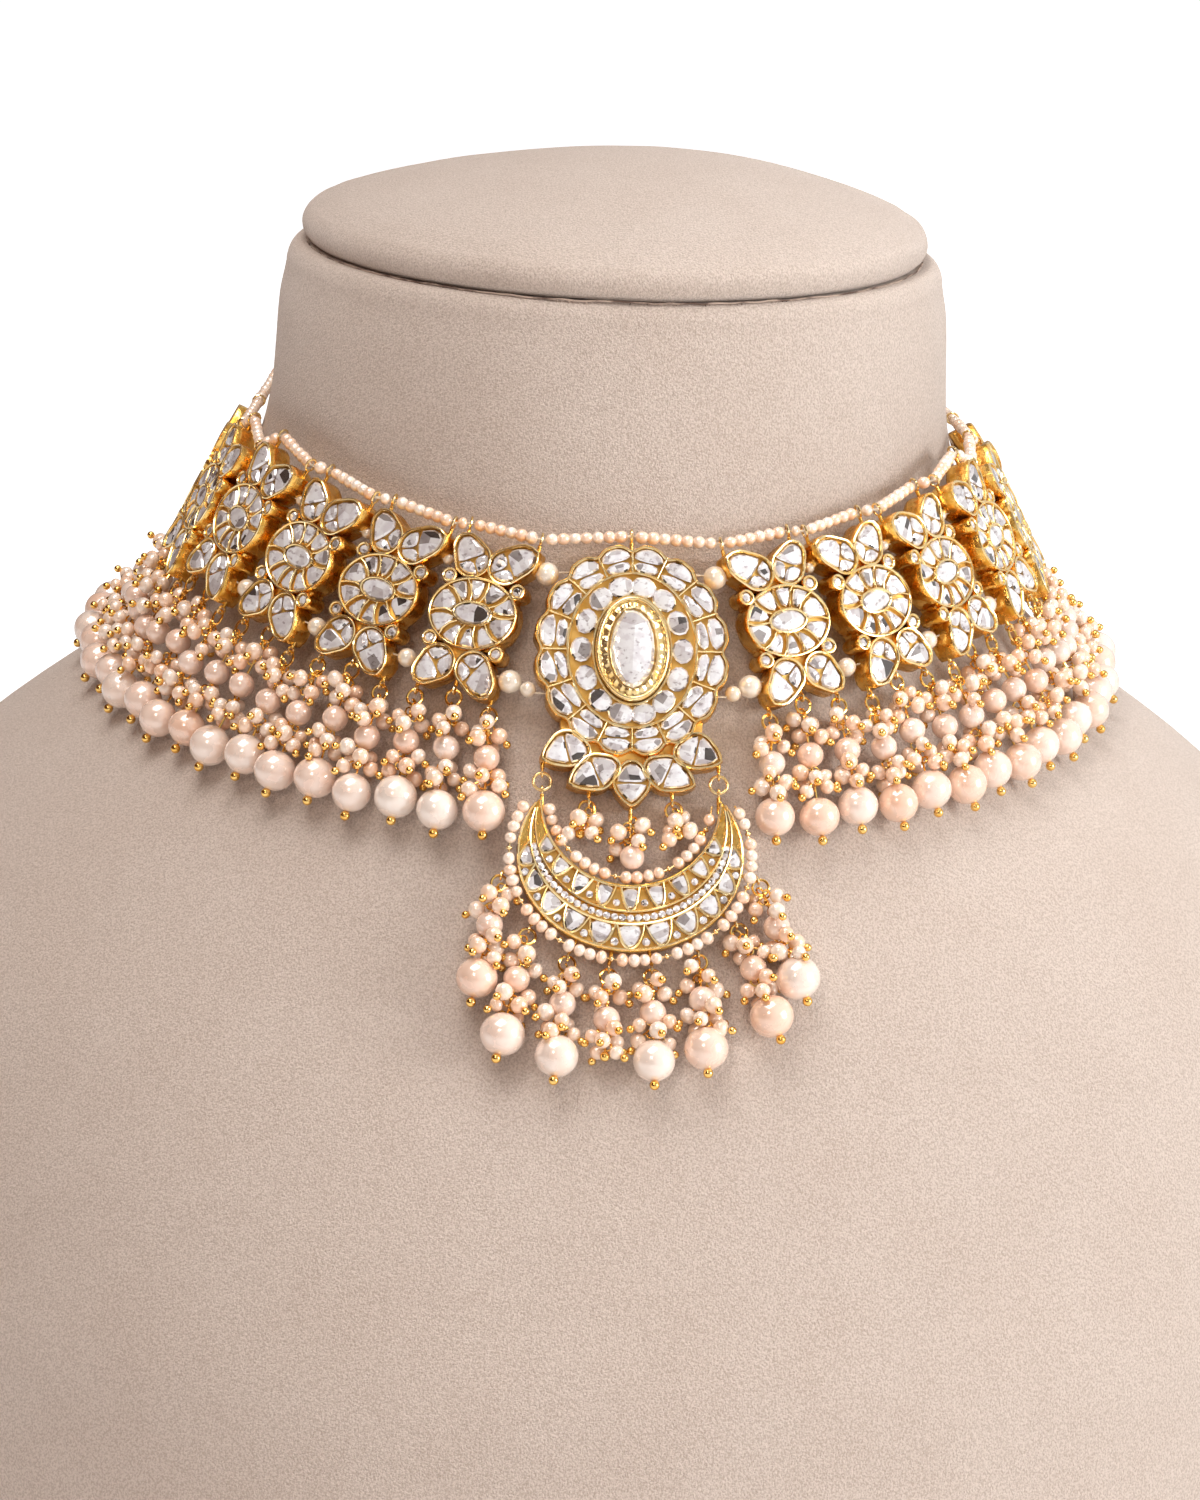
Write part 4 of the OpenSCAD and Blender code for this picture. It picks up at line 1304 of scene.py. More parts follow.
@dataclass
class GoldWork:
    """Cups, rims, eyes and stems that the plaques and the pendant share."""

    palette: Palette
    wall: float = 0.4
    cell_depth: float = 0.8
    rim_r: float = 0.2
    eye_wire: float = 0.2
    stem_r: float = 0.32
    seat: float = 0.02

    @property
    def stone_floor(self) -> float:
        """Height of a stone's base, just above the floor of its cell."""
        return self.seat - self.cell_depth

    def stone_piece(self, name: str, pile: MeshPile, *nodes: str) -> None:
        """Makes a piece of cut stones."""
        pile.piece(name, [self.palette.stone], Slot.STONE, nodes, STONE_EDGE)

    def cup(self, pile: MeshPile, place: Place, outline: Points, thick: float) -> None:
        """A closed cup: an uneven outer wall, a flat rim, an inner wall and a floor; the inner wall and floor
        take the recess gold, which paints shade.

        Args:
            pile: Where its shell goes.
            place: The frame that it stands in.
            outline: Its convex outline, anticlockwise.
            thick: Its height from the back to the rim.
        """
        rows = (
            (0.3, -thick), (0.04, 0.3 - thick), (-0.05, -0.72 * thick), (0.08, -0.5 * thick),
            (-0.04, -0.28 * thick), (0.02, -0.2), (0.12, 0), (self.wall, 0),
            (self.wall + 0.04, -0.12), (self.wall + 0.05, -self.cell_depth),
        )
        pile.loft([place.flat(drawn_in(outline, by), z) for by, z in rows], 0, 2)

    def plate(self, pile: MeshPile, place: Place, outline: Points, top: float, bottom: float) -> None:
        """A flat plate between two heights, with the recess gold's painted shade on its top."""
        rows = ((0.15, bottom), (0.0, bottom + 0.25), (0.0, top - 0.1), (0.08, top))
        pile.loft([place.flat(drawn_in(outline, by), z) for by, z in rows], 0, 2)

    def ridge(self, pile: MeshPile, place: Place, line: Points, half: float) -> None:
        """A thin upright wall with a rounded top along a line of the plane."""
        floor = -self.cell_depth
        d = np.gradient(line, axis=0)
        side = np.stack([-d[:, 1], d[:, 0]], 1) / np.linalg.norm(d, axis=1)[:, None]
        profile = [(-1, floor), (-1, -0.08), (-0.6, 0.06), (0, 0.12), (0.6, 0.06), (1, -0.08), (1, floor)]
        rings = [np.array([[*(p + s * half * x), z] for x, z in profile]) for p, s in zip(line, side)]
        pile.loft([place.put(ring) for ring in rings], 1)

    def eye(
        self, place: Place, x: float, y: float, foot_y: float, r: float, turn: float = 0
    ) -> tuple[Path, Path]:
        """A small eye on a stem.

        Args:
            place: The frame that it stands in.
            x: Its middle's x.
            y: Its middle's y.
            foot_y: Where its stem starts.
            r: Its radius.
            turn: How far it is turned about y.

        Returns:
            The path of its ring and the path of its stem.
        """
        q = np.arange(14) * 360 / 14
        s, c = sin(90 - turn), cos(90 - turn)
        about = np.array([[c, 0, s], [0, 1, 0], [-s, 0, c]])
        ring = np.stack([r * cos(q), r * sin(q), np.zeros(14)], 1) @ about.T + vec(x, y, MID_DEPTH)
        near = y - math.copysign(r, y - foot_y)
        stem = np.array([[x, foot_y, MID_DEPTH], [x, near, MID_DEPTH]])
        return Path(place.put(ring), True), Path(place.put(stem))

    def rim(self, place: Place, outline: Points, z: float = 0.02) -> Path:
        """The bright wire along the top of a cup's wall."""
        return Path(place.flat(drawn_in(outline, self.wall / 2), z), True)

    def solder(self, pile: MeshPile, rims: Sequence[Path], eyes: Sequence[tuple[Path, Path]]) -> None:
        """Adds rim wires, eyes and their stems."""
        wires = self.palette.wires
        pile.take(wires.bars(rims, self.rim_r, self.palette.rim), 1)
        pile.take(wires.bars([e[0] for e in eyes], self.eye_wire, self.palette.rim), 1)
        pile.take(wires.bars([e[1] for e in eyes], self.stem_r, self.palette.gold, 8), 0)

    def finishes(self) -> list[Material]:
        """The three golds in the order of the faces' indices: walls, rims with a painted highlight, and recesses
        with painted shade.
        """
        return [self.palette.gold, self.palette.rim, self.palette.shaded_recess]


@dataclass
class Plaque(GoldWork):
    """One collar plaque: four leaf cups, a flower of ten cells round a heart, and four bezels."""

    thick: float = 4.2
    leaf_r: float = 3.0
    bezel_r: float = 1.3
    flower_w: float = 7.3
    flower_h: float = 5.85
    heart_w: float = 3.05
    heart_h: float = 1.75
    flower_at: Pair = (-0.7, -0.5)
    leaves: Rows = (
        (-4.1, 7.7, -8.9, 10.9), (1.4, 7.9, 4.3, 11.7), (-2.9, -9, -6.5, -13.2),
        (3, -8.9, 6.1, -12.4),
    )
    bezels: Pairs = ((-6.9, 4.1), (4.5, 4.8), (-6, -6.1), (5.2, -5.4))
    walls: tuple[float, ...] = (-7, 44, 73, 101, 136, 174, 223, 254, 282, 311, 353)
    loops: Rows = (
        (-6.4, -14.2, -12.4), (-0.2, -12.4, -9.5), (5.9, -13.5, -11.8),
    )
    loop_r: float = 0.62
    posts: Pairs = ((-7.9, 13.4), (4, 13.9))
    post_foot: float = 9.5
    post_r: float = 1.0
    post_turn: float = 20
    web_r: float = 0.15
    leaf_cut: Cut = Cut(-0.3, 0.46)
    cell_cut: Cut = Cut(-0.26, 0.4, 0.22)
    bezel_cut: Cut = Cut(-0.2, 0.3, 0.2)
    heart_cut: Cut = Cut(-0.1, 0.45, 0.3)

    def leaf_stones(self, cutter: StoneCutter, pile: MeshPile, place: Place, row: Sequence[float]) -> None:
        """Three stones in a leaf cell: two at the round end and one at the point."""
        cell = drawn_in(leaf(row[:2], self.leaf_r, row[2:]), self.wall + 0.1)
        c, tip = np.array(row[:2]), np.array(row[2:])
        u = (turn_z(cutter.random.uniform(-16, 16)) @ vec(*unit(tip - c), 0))[:2]
        side = np.array([-u[1], u[0]])
        split = c + u * cutter.random.uniform(0.25, 0.7)
        far, near = clipped(cell, split, -u), clipped(cell, split, u)
        middle = c + side * cutter.random.uniform(-0.3, 0.3)
        for part in (far, clipped(near, middle, side), clipped(near, middle, -side)):
            cutter.cut(pile, place, rounded(inset(part, 0.1), 13, 3), self.stone_floor, self.leaf_cut)

    def stones(self, cutter: StoneCutter, pile: MeshPile, hearts: MeshPile, place: Place) -> None:
        """Cuts every stone of the plaque."""
        floor = self.stone_floor
        for row in self.leaves:
            self.leaf_stones(cutter, pile, place, row)
        outer = (self.flower_w - self.wall, self.flower_h - self.wall)
        inner = (self.heart_w + self.wall, self.heart_h + self.wall)
        for a, b in zip(self.walls[:-1], self.walls[1:]):
            cell = ray_cell(outer, inner, a, b, self.wall, self.flower_at)
            cutter.cut(pile, place, rounded(inset(cell, 0.1), 11), floor, self.cell_cut)
        for b in self.bezels:
            cutter.cut(pile, place, circle(self.bezel_r - 0.48, 8, b), floor, self.bezel_cut)
        heart = oval(self.heart_w - 0.1, self.heart_h - 0.1, 14, self.flower_at)
        cutter.cut(hearts, place, heart, floor, self.heart_cut)

    def gold(self, side: Side, k: int, place: Place) -> None:
        """Builds the gold of one plaque."""
        pile = MeshPile()
        cups = [leaf(row[:2], self.leaf_r, row[2:]) for row in self.leaves]
        cups += [circle(self.bezel_r, 16, b) for b in self.bezels]
        cups.append(oval(self.flower_w, self.flower_h, 44, self.flower_at))
        for outline in cups:
            self.cup(pile, place, outline, self.thick)
        self.plate(pile, place, hull(np.array(self.bezels)), -0.85, -self.thick + 0.1)
        self.plate(pile, place, hull(np.array([row[:2] for row in self.leaves])), -0.9, -self.thick + 0.15)
        at, sizes = np.array(self.flower_at), np.array([self.heart_w + 0.1, self.heart_h + 0.1])
        outer = np.array([self.flower_w - 0.3, self.flower_h - 0.3])
        for q in self.walls[:-1]:
            far, near = (at + size * np.array([cos(q), sin(q)]) for size in (outer, sizes))
            bow = np.array([-(far - near)[1], (far - near)[0]]) * 0.1
            line = np.array([near, near * 0.65 + far * 0.35 + bow, near * 0.3 + far * 0.7 + bow, far])
            self.ridge(pile, place, line, self.web_r)
        heart = oval(*sizes, 28, self.flower_at)
        self.ridge(pile, place, np.vstack([heart, heart[:2]]), self.web_r)
        pile.roughened(0.16, 1.3)
        rims = [self.rim(place, outline) for outline in cups]
        rims.append(Path(place.flat(heart, 0.08), True))
        eyes = [self.eye(place, *p, self.post_foot, self.post_r, self.post_turn) for p in self.posts]
        eyes += [self.eye(place, *p, self.loop_r) for p in self.loops]
        self.solder(pile, rims, eyes)
        name = f"{side.name.lower()}_{k}"
        pile.piece(f"plaque_gold_{name}", self.finishes(), Slot.GOLD, [f"plaque_{name}"])

    def build(self) -> None:
        """Builds all twelve plaques and their stones."""
        hearts, stones = MeshPile(), {Side.LEFT: MeshPile(), Side.RIGHT: MeshPile()}
        for side, k in COLLAR.order():
            place = COLLAR.place(side, k)
            self.gold(side, k, place)
            self.stones(StoneCutter(100 + 10 * k + side.value), stones[side], hearts, place)
        self.stone_piece("flower_heart_stones", hearts, "flower_stones")
        for side, pile in stones.items():
            self.stone_piece(f"cell_stones_{side.name.lower()}", pile)


@dataclass
class Pendant(GoldWork):
    """The lobed oval pendant with its lotus foot, centre stone, ring stones and petal stones."""

    thick: float = 4.4
    petals: int = 16
    petal_w: float = 15.2
    petal_h: float = 16.9
    petal_mid: Pair = (12.4, 14.4)
    petal_split: Pair = (12.0, 14.05)
    scallop: float = 0.85
    wall_w: float = 9.8
    wall_h: float = 12
    bezel_w: float = 5.7
    bezel_h: float = 8.2
    bezel_rise: float = 1.6
    big_w: float = 3.4
    big_h: float = 6.2
    ring_count: int = 14
    ring_at: Pair = (7.85, 10.2)
    ring_half: Pair = (1.72, 2.1)
    lobes: Rows = (
        (0, -19.2, 0, -20.7, 0, -24.6), (3.7, -18.5, 5.4, -19.2, 9.9, -21.1),
        (8.3, -16.0, 9.9, -15.6, 14.0, -17.3), (-3.7, -18.5, -5.4, -19.2, -9.9, -21.1),
        (-8.3, -16.0, -9.9, -15.6, -14.0, -17.3),
    )
    foot_plate: Pairs = (
        (-11, -11), (11, -11), (10.5, -16.5), (5.3, -21), (0, -22), (-5.3, -21), (-10.5, -16.5),
    )
    neck_r: float = 2.1
    lotus_r: float = 3.0
    post_y: float = 18.6
    post_foot: float = 15
    link_x: float = 13.6
    link_y: float = -19.1
    link_foot: float = -16.4
    loop_r: float = 0.62
    post_r: float = 1.0
    web_r: float = 0.17
    ring_cut: Cut = Cut(-0.18, 0.42)
    lotus_cut: Cut = Cut(-0.2, 0.45)
    big_cut: Cut = Cut(1.2, 1.2, 0.5)
    big_floor: float = 0.4
    big_ridge: Pairs = ((-0.15, -3.6), (0.2, 3.4))
    # Tones of the centre stone's left, right, near and far facets: painted reflections, white to grey.
    big_painted_reflections: tuple[float, ...] = (0.4, 0.97, 0.6, 0.22)
    strands: Rows = ((-6.4, -23.4, -20.5), (0, -27.2, -24.5), (6.4, -23.4, -20.5))

    def outline(self, less: float = 0) -> Points:
        """The lobed oval."""
        q = np.arange(192) * 360 / 192
        s = 1 - self.scallop / self.petal_w * np.abs(cos(self.petals / 2 * q)) ** 5
        return np.stack([(self.petal_w - less) * s * cos(q), (self.petal_h - less) * s * sin(q)], 1)

    def lobe(self, row: Sequence[float]) -> Points:
        """Outline of one lobe of the lotus foot, tucked under the oval."""
        petal = leaf(row[2:4], self.lotus_r, row[4:], 0.1)
        return hull(np.vstack([circle(self.neck_r, 16, row[:2]), petal]))

    def petal(self, i: int) -> Points:
        """Cell of one petal, with a bowed outer edge."""
        step = 360 / self.petals
        outer = (self.petal_w - 0.8, self.petal_h - 0.8)
        inner = (self.wall_w + self.wall, self.wall_h + self.wall)
        cell = ray_cell(outer, inner, i * step, (i + 1) * step, self.wall)
        out = cell[:5] / np.linalg.norm(cell[:5], axis=1)[:, None]
        cell[:5] += out * np.array([-0.7, 0.1, 0.36, 0.1, -0.7])[:, None]
        return cell

    def gold(self) -> None:
        """Builds the gold of the pendant."""
        pile, place, low = MeshPile(), PENDANT_PLACE, -self.thick
        rows = ((0.5, low), (0.06, low + 0.4), (-0.05, low * 0.72), (0.1, low * 0.5), (-0.03, low * 0.25))
        rows += ((0.02, -0.2), (0.12, 0), (0.6, 0), (0.7, -self.cell_depth))
        # The last band and the floor take the recess gold, painted shade.
        pile.loft([place.flat(self.outline(by), z) for by, z in rows], 0, 2)
        lobes = [self.lobe(row) for row in self.lobes]
        for shape in lobes:
            self.cup(pile, place, shape, self.thick)
        self.plate(pile, place, hull(np.array(self.foot_plate)), -0.86, low + 0.2)
        pile.roughened(0.12, 1.4)
        rims = [Path(place.flat(self.outline(0.36), 0.02), True)]
        rims += [self.rim(place, shape) for shape in lobes]
        for w, h in ((self.wall_w + 0.2, self.wall_h + 0.2), (self.bezel_w + 0.35, self.bezel_h + 0.35)):
            wall = oval(w, h, 64)
            self.ridge(pile, place, np.vstack([wall, wall[:2]]), self.web_r)
            rims.append(Path(place.flat(wall, 0.06), True))
        sizes = ((self.wall_w + 0.3, self.wall_h + 0.3), self.petal_mid, (self.petal_w - 1, self.petal_h - 1))
        for i in range(self.petals):
            q = i * 360 / self.petals
            self.ridge(pile, place, np.array([[w * cos(q), h * sin(q)] for w, h in sizes]), self.web_r)
        self.bezel(pile, place)
        eyes = [self.eye(place, 0, self.post_y, self.post_foot, self.post_r)]
        eyes += [self.eye(place, s * self.link_x, self.link_y, self.link_foot, self.loop_r) for s in (-1, 1)]
        eyes += [self.eye(place, *s, self.loop_r) for s in self.strands]
        self.solder(pile, rims, eyes)
        pile.piece("pendant_gold", self.finishes(), Slot.GOLD, ["pendant_setting"])

    def bezel(self, pile: MeshPile, place: Place) -> None:
        """The raised box of the centre stone, with a rolled edge, a groove and crimped foil leaves."""
        n, high = 120, self.bezel_rise
        random = np.random.default_rng(3)
        leaves = np.repeat(random.uniform(0.6, 1.2, n // 5), 5) * np.tile([0, 0.55, 1, 0.5, 0.05], n // 5)
        rows = (
            (0.0, -0.9, 0), (-0.02, 0.5, 0), (0.0, high - 0.35, 0), (0.14, high - 0.08, 0),
            (0.36, high, 0), (0.56, high - 0.1, 0), (0.66, high - 0.5, 0), (0.86, high - 0.55, 0.1),
            (1.2, high - 0.35, 0.42), (1.7, high - 0.2, 0.36), (2.05, high - 0.5, 0.2),
            (2.2, 0.8, 0.05),
        )
        rings = []
        for by, z, share in rows:
            w = max(self.bezel_w - by, self.big_w + self.seat)
            h = max(self.bezel_h - by, self.big_h + self.seat)
            rings.append(place.flat(oval(w, h, n), z + leaves * share))
        pile.loft(rings, 1)

    def big_stone(self) -> None:
        """The centre stone, with a long ridge between a side with a light painted reflection and one with a grey
        painted reflection.
        """
        pile, cutter = MeshPile(), StoneCutter(11)
        start, end = (np.array(p) for p in self.big_ridge)
        shape = oval(self.big_w, self.big_h, 16)
        cutter.cut(pile, PENDANT_PLACE, shape, self.big_floor, self.big_cut, (start, end), self.big_painted_reflections)
        self.stone_piece("pendant_big_stone", pile, "pendant_centre_stone")

    def stones(self) -> None:
        """Cuts the ring stones, the petal stones and the lotus stones."""
        place, cutter = PENDANT_PLACE, StoneCutter(7)
        floor = self.stone_floor
        ring, petals, foot = MeshPile(), MeshPile(), MeshPile()
        for i in range(self.ring_count):
            q = (i + 0.5) * 360 / self.ring_count + 90
            w, h = self.ring_at
            turn = turn_z(math.degrees(math.atan2(w * sin(q), h * cos(q))))[:2, :2]
            half_w, half_h = self.ring_half
            shape = rounded(oval(half_w + 0.12, half_h + 0.12, 7, (0, 0), cutter.random.uniform(0, 50)), 12)
            cutter.cut(ring, place, shape @ turn.T + np.array([w * cos(q), h * sin(q)]), floor, self.ring_cut)
        for i in range(self.petals):
            q = (i + 0.5) * 360 / self.petals
            out = (turn_z(cutter.random.uniform(-9, 9)) @ unit(vec(15 * cos(q), 17 * sin(q), 0)))[:2]
            split = np.array(self.petal_split) * np.array([cos(q), sin(q)])
            for part in (clipped(self.petal(i), split, out), clipped(self.petal(i), split, -out)):
                cutter.cut(petals, place, rounded(inset(part, 0.1), 12), floor, self.ring_cut)
        for row in self.lobes:
            cell = drawn_in(self.lobe(row), self.wall + 0.12)
            u = unit(np.array(row[4:]) - np.array(row[:2]))
            split = np.array(row[2:4]) + u * 0.1
            for part in (clipped(cell, split, u), clipped(cell, split, -u)):
                cutter.cut(foot, place, rounded(inset(part, 0.12), 13, 3), floor, self.lotus_cut)
        self.stone_piece("pendant_ring_stones_cut", ring, "pendant_ring_stones")
        self.stone_piece("pendant_petal_stones_cut", petals, "pendant_petal_stones")
        self.stone_piece("pendant_lotus_stones", foot)

    def build(self) -> None:
        """Builds the pendant."""
        self.gold()
        self.big_stone()
        self.stones()


@dataclass
class Crescent(GoldWork):
    """The crescent: two rows of stones, a channel of small ones, fluted horns and two edge strings."""

    centre_y: float = -36.5
    horn_w: float = 17.4
    horn_h: float = 14.8
    horn_y: float = 4.5
    bite_r: float = 13.9
    bite_y: float = 14
    horn_angle: float = 127
    back: float = -4.4
    face: float = -1.4
    reach: float = 0.66
    band_depth: float = 0.55
    loop_out: float = 2.6
    loop_r: float = 0.62
    rim_depth: float = -3.4
    string_clear: float = 1.25
    link_x: float = 13.6
    link_y: float = -19.1
    link_r: float = 1.35
    horn_foot: float = 11.5
    end: float = 0.985
    outer_step: float = 0.135
    inner_step: float = 0.165
    channel_step: float = 0.041
    outer_rim: Triple = (0.064, 0.6, 0.955)
    inner_rim: Triple = (0.062, 0.045, 0.385)
    outer_stone: Triple = (0.059, 0.61, 0.935)
    inner_stone: Triple = (0.058, 0.06, 0.365)
    rim_lines: Pairs = ((0.035, 0.97), (0.4, 0.93), (0.59, 0.93), (0.965, 0.97))
    rim_up: float = 0.05
    seed_pitch: float = 1.7
    group: int = 5
    tie_r: float = 0.5
    tie_half: float = 0.34
    thread_r: float = 0.13
    ring_wire: float = 0.24
    section: Pairs = (
        (0.0, 0), (0.05, 0), (0.075, 1), (0.365, 1), (0.385, 0), (0.415, 0), (0.43, 0.8),
        (0.56, 0.8), (0.575, 0), (0.605, 0), (0.625, 1), (0.935, 1), (0.955, 0), (1.0, 0),
    )
    underside: Pairs = ((1.0, 0.3), (0.94, 0), (0.06, 0), (0.0, 0.3))
    floors: tuple[int, ...] = (2, 6, 10)
    strands: Rows = (
        (-80, -22.8, -18, 1), (-50, -19, -26.1, 1), (-28, -11, -28.9, 1), (-9, -3.8, -28.3, 0),
        (10, 3.5, -29.3, 1), (32, 11.3, -27.5, 1), (55, 21.2, -22.9, 1), (80, 25.2, -17.4, 1),
    )

    def at(self, a: float, f: float) -> Points:
        """Point of the crescent: a from the foot of the rim, f from the inner edge to the rim."""
        q = a * self.horn_angle
        rim = np.array([self.horn_w * sin(q), self.horn_y - self.horn_h * cos(q)])
        s = a * math.degrees(math.asin(self.horn_w * sin(self.horn_angle) / self.bite_r))
        edge = np.array([self.bite_r * sin(s), self.bite_y - self.bite_r * cos(s)])
        return np.array([0, self.centre_y]) + edge * (1 - f) + rim * f

    def rim_point(self, q: float, out: float) -> Points:
        """Point of the rim, moved outwards."""
        y = self.centre_y + self.horn_y - (self.horn_h + out) * cos(q)
        return np.array([(self.horn_w + out) * sin(q), y])

    def hang(self, row: Sequence[float]) -> float:
        """Angle from straight down at which a strand hangs in the pendant's plane."""
        p = self.rim_point(row[0], self.loop_out)
        return math.degrees(math.atan2(row[1] - p[0], p[1] - row[2] - self.centre_y))

    def body(self, pile: MeshPile) -> None:
        """The crescent's solid, with bands for the stones that run out into flutes on the horns."""
        rings, ways = [], np.linspace(-self.end, self.end, 121)
        for a in ways:
            past = max(0.0, (abs(a) - self.reach) / (self.end - self.reach))
            deep = self.band_depth * (1 if past == 0 else 0.75 * (1 - past))
            top = [[*self.at(a, f), self.face - deep * share] for f, share in self.section]
            under = [[*self.at(a, f), self.back + z] for f, z in self.underside]
            rings.append(PENDANT_PLACE.put(np.array(top + under)))
        start, n = len(pile.finish) + 1, len(rings[0])
        pile.loft(rings)
        # The floors of the stone bands take the recess gold, painted shade.
        for i in range(len(ways) - 1):
            if abs(ways[i]) < self.reach + 0.02:
                for j in self.floors:
                    pile.finish[start + i * n + j] = 2

    def arch(self, a: float, half: float, foot: float, top: float) -> Points:
        """Pointed arch from the channel side to the edge."""
        s = np.linspace(-1, 1, 13)
        height = (1 - np.abs(s) ** 2.2) ** 0.8
        line = ((a + half * x * (1.02 - 0.12 * y), foot + (top - foot) * y) for x, y in zip(s, height))
        return np.array([self.at(*p) for p in line])

    def arches(self, outer: Sequence[float], inner: Sequence[float]) -> list[tuple[bool, Points]]:
        """The arches of both rows, each with whether it is in the outer one."""
        made = [(True, self.arch(k * self.outer_step, *outer)) for k in range(-5, 6)]
        return made + [(False, self.arch(k * self.inner_step, *inner)) for k in range(-4, 5)]

    def gold(self) -> None:
        """Builds the gold of the crescent."""
        pile, place, z = MeshPile(), PENDANT_PLACE, self.face + self.rim_up
        self.body(pile)
        pile.roughened(0.07, 1.4)
        rims = []
        for f, end in self.rim_lines:
            line = np.array([self.at(a, f) for a in np.linspace(-end, end, 90)])
            rims.append(Path(place.flat(line, z)))
        rims += [Path(place.flat(arch, z)) for _, arch in self.arches(self.outer_rim, self.inner_rim)]
        eye_y, foot_y = self.link_y - 2 * self.link_r, self.centre_y + self.horn_foot
        eyes = [self.eye(place, s * self.link_x, eye_y, foot_y, self.loop_r) for s in (-1, 1)]
        for row in self.strands:
            h, q = self.hang(row), np.arange(12) * 30
            middle, foot = self.rim_point(row[0], self.loop_out), self.rim_point(row[0], -0.6)
            hoop = np.stack([np.zeros(12), self.loop_r * cos(q), self.loop_r * sin(q)], 1) @ turn_z(h).T
            near = middle - self.loop_r * np.array([sin(h), -cos(h)])
            stem = Path(place.flat(np.array([foot, near]), self.rim_depth))
            eyes.append((Path(place.put(hoop + vec(*middle, self.rim_depth)), True), stem))
        self.solder(pile, rims, eyes)
        pile.piece("crescent_gold", self.finishes(), Slot.GOLD, ["crescent_setting"])

    def stones(self) -> None:
        """Cuts the stones of the three bands."""
        pile, place, cutter = MeshPile(), PENDANT_PLACE, StoneCutter(31)
        floor, girdle = self.face - 0.52, self.face - 0.12
        for outer, arch in self.arches(self.outer_stone, self.inner_stone):
            cut = Cut(girdle, 0.34 if outer else 0.32, 0.2)
            cutter.cut(pile, place, rounded(hull(arch), 10), floor, cut)
        small = [(0.66, self.at((k + 0.5) * self.outer_step, 0.86)) for k in range(-5, 5)]
        small += [(0.6, self.at((k + 0.5) * self.inner_step, 0.28)) for k in range(-4, 4)]
        small += [(0.6, self.at(k * self.channel_step, 0.495)) for k in range(-17, 18)]
        for r, at in small:
            shape = circle(r, 8, at, cutter.random.uniform(0, 40))
            cutter.cut(pile, place, shape, floor, Cut(girdle, 0.28, 0.14))
        self.stone_piece("crescent_stones", pile)

    def edge_string(self, name: str, node: str, path: Points, seed: int) -> None:
        """A string of seed pearls in groups between gold ties.

        Args:
            name: Name of the piece.
            node: CAD node that it stands for.
            path: The thread.
            seed: Fixed seed of the small differences.
        """
        random, fine, tools = np.random.default_rng(seed), spaced(path, 400), self.palette
        run = run_along(fine)
        beads, knots = [], []
        for i, s in enumerate(np.arange(0.9, run[-1] - 0.8, self.seed_pitch)):
            j, axis = heading(fine, run, s)
            if i % self.group == self.group - 1:
                knots.append(Bead(fine[j], self.tie_r, self.tie_half, axis))
            else:
                r, half = random.uniform(0.95, 1.1), random.uniform(0.86, 1.0)
                beads.append(Bead(fine[j], r, half, axis, random.uniform(0.1, 0.9)))
        seeds = tools.beads.beads(beads, tools.seed, 12, 8, uneven=0.09, grain=1.3)
        piece_of(name, tools.seed, Slot.PEARL, [node], [seeds])
        ties = tools.beads.beads(knots, tools.rim, 8, 6)
        thread = tools.wires.bars([Path(spaced(path, 60))], self.thread_r, tools.rim)
        piece_of(name + "_ties", tools.rim, Slot.GOLD, (), [ties, thread])

    def strings(self) -> None:
        """Builds the two strings and the jump rings."""
        place, r = PENDANT_PLACE, self.bite_r - self.string_clear
        q = np.linspace(-84, 84, 35)
        inner = np.stack([r * sin(q), self.centre_y + self.bite_y - r * cos(q), np.full(35, MID_DEPTH)], 1)
        ways = np.linspace(-121, 121, 41)
        outer = np.array([[*self.rim_point(q, self.string_clear), MID_DEPTH + 0.6] for q in ways])
        self.edge_string("crescent_inner_seeds", "crescent_inner_string", place.put(inner), 5)
        self.edge_string("crescent_outer_seeds", "crescent_outer_string", place.put(outer), 6)
        rings = []
        for side in (-1, 1):
            ring = circle(self.link_r, 28, (side * self.link_x, self.link_y - self.link_r))
            rings.append(Path(place.flat(ring, MID_DEPTH), True))
        bars = self.palette.wires.bars(rings, self.ring_wire, self.palette.rim, 10)
        piece_of("crescent_link_rings", self.palette.rim, Slot.GOLD, ["crescent_jump_rings"], [bars])

    def build(self) -> None:
        """Builds the crescent."""
        self.gold()
        self.stones()
        self.strings()


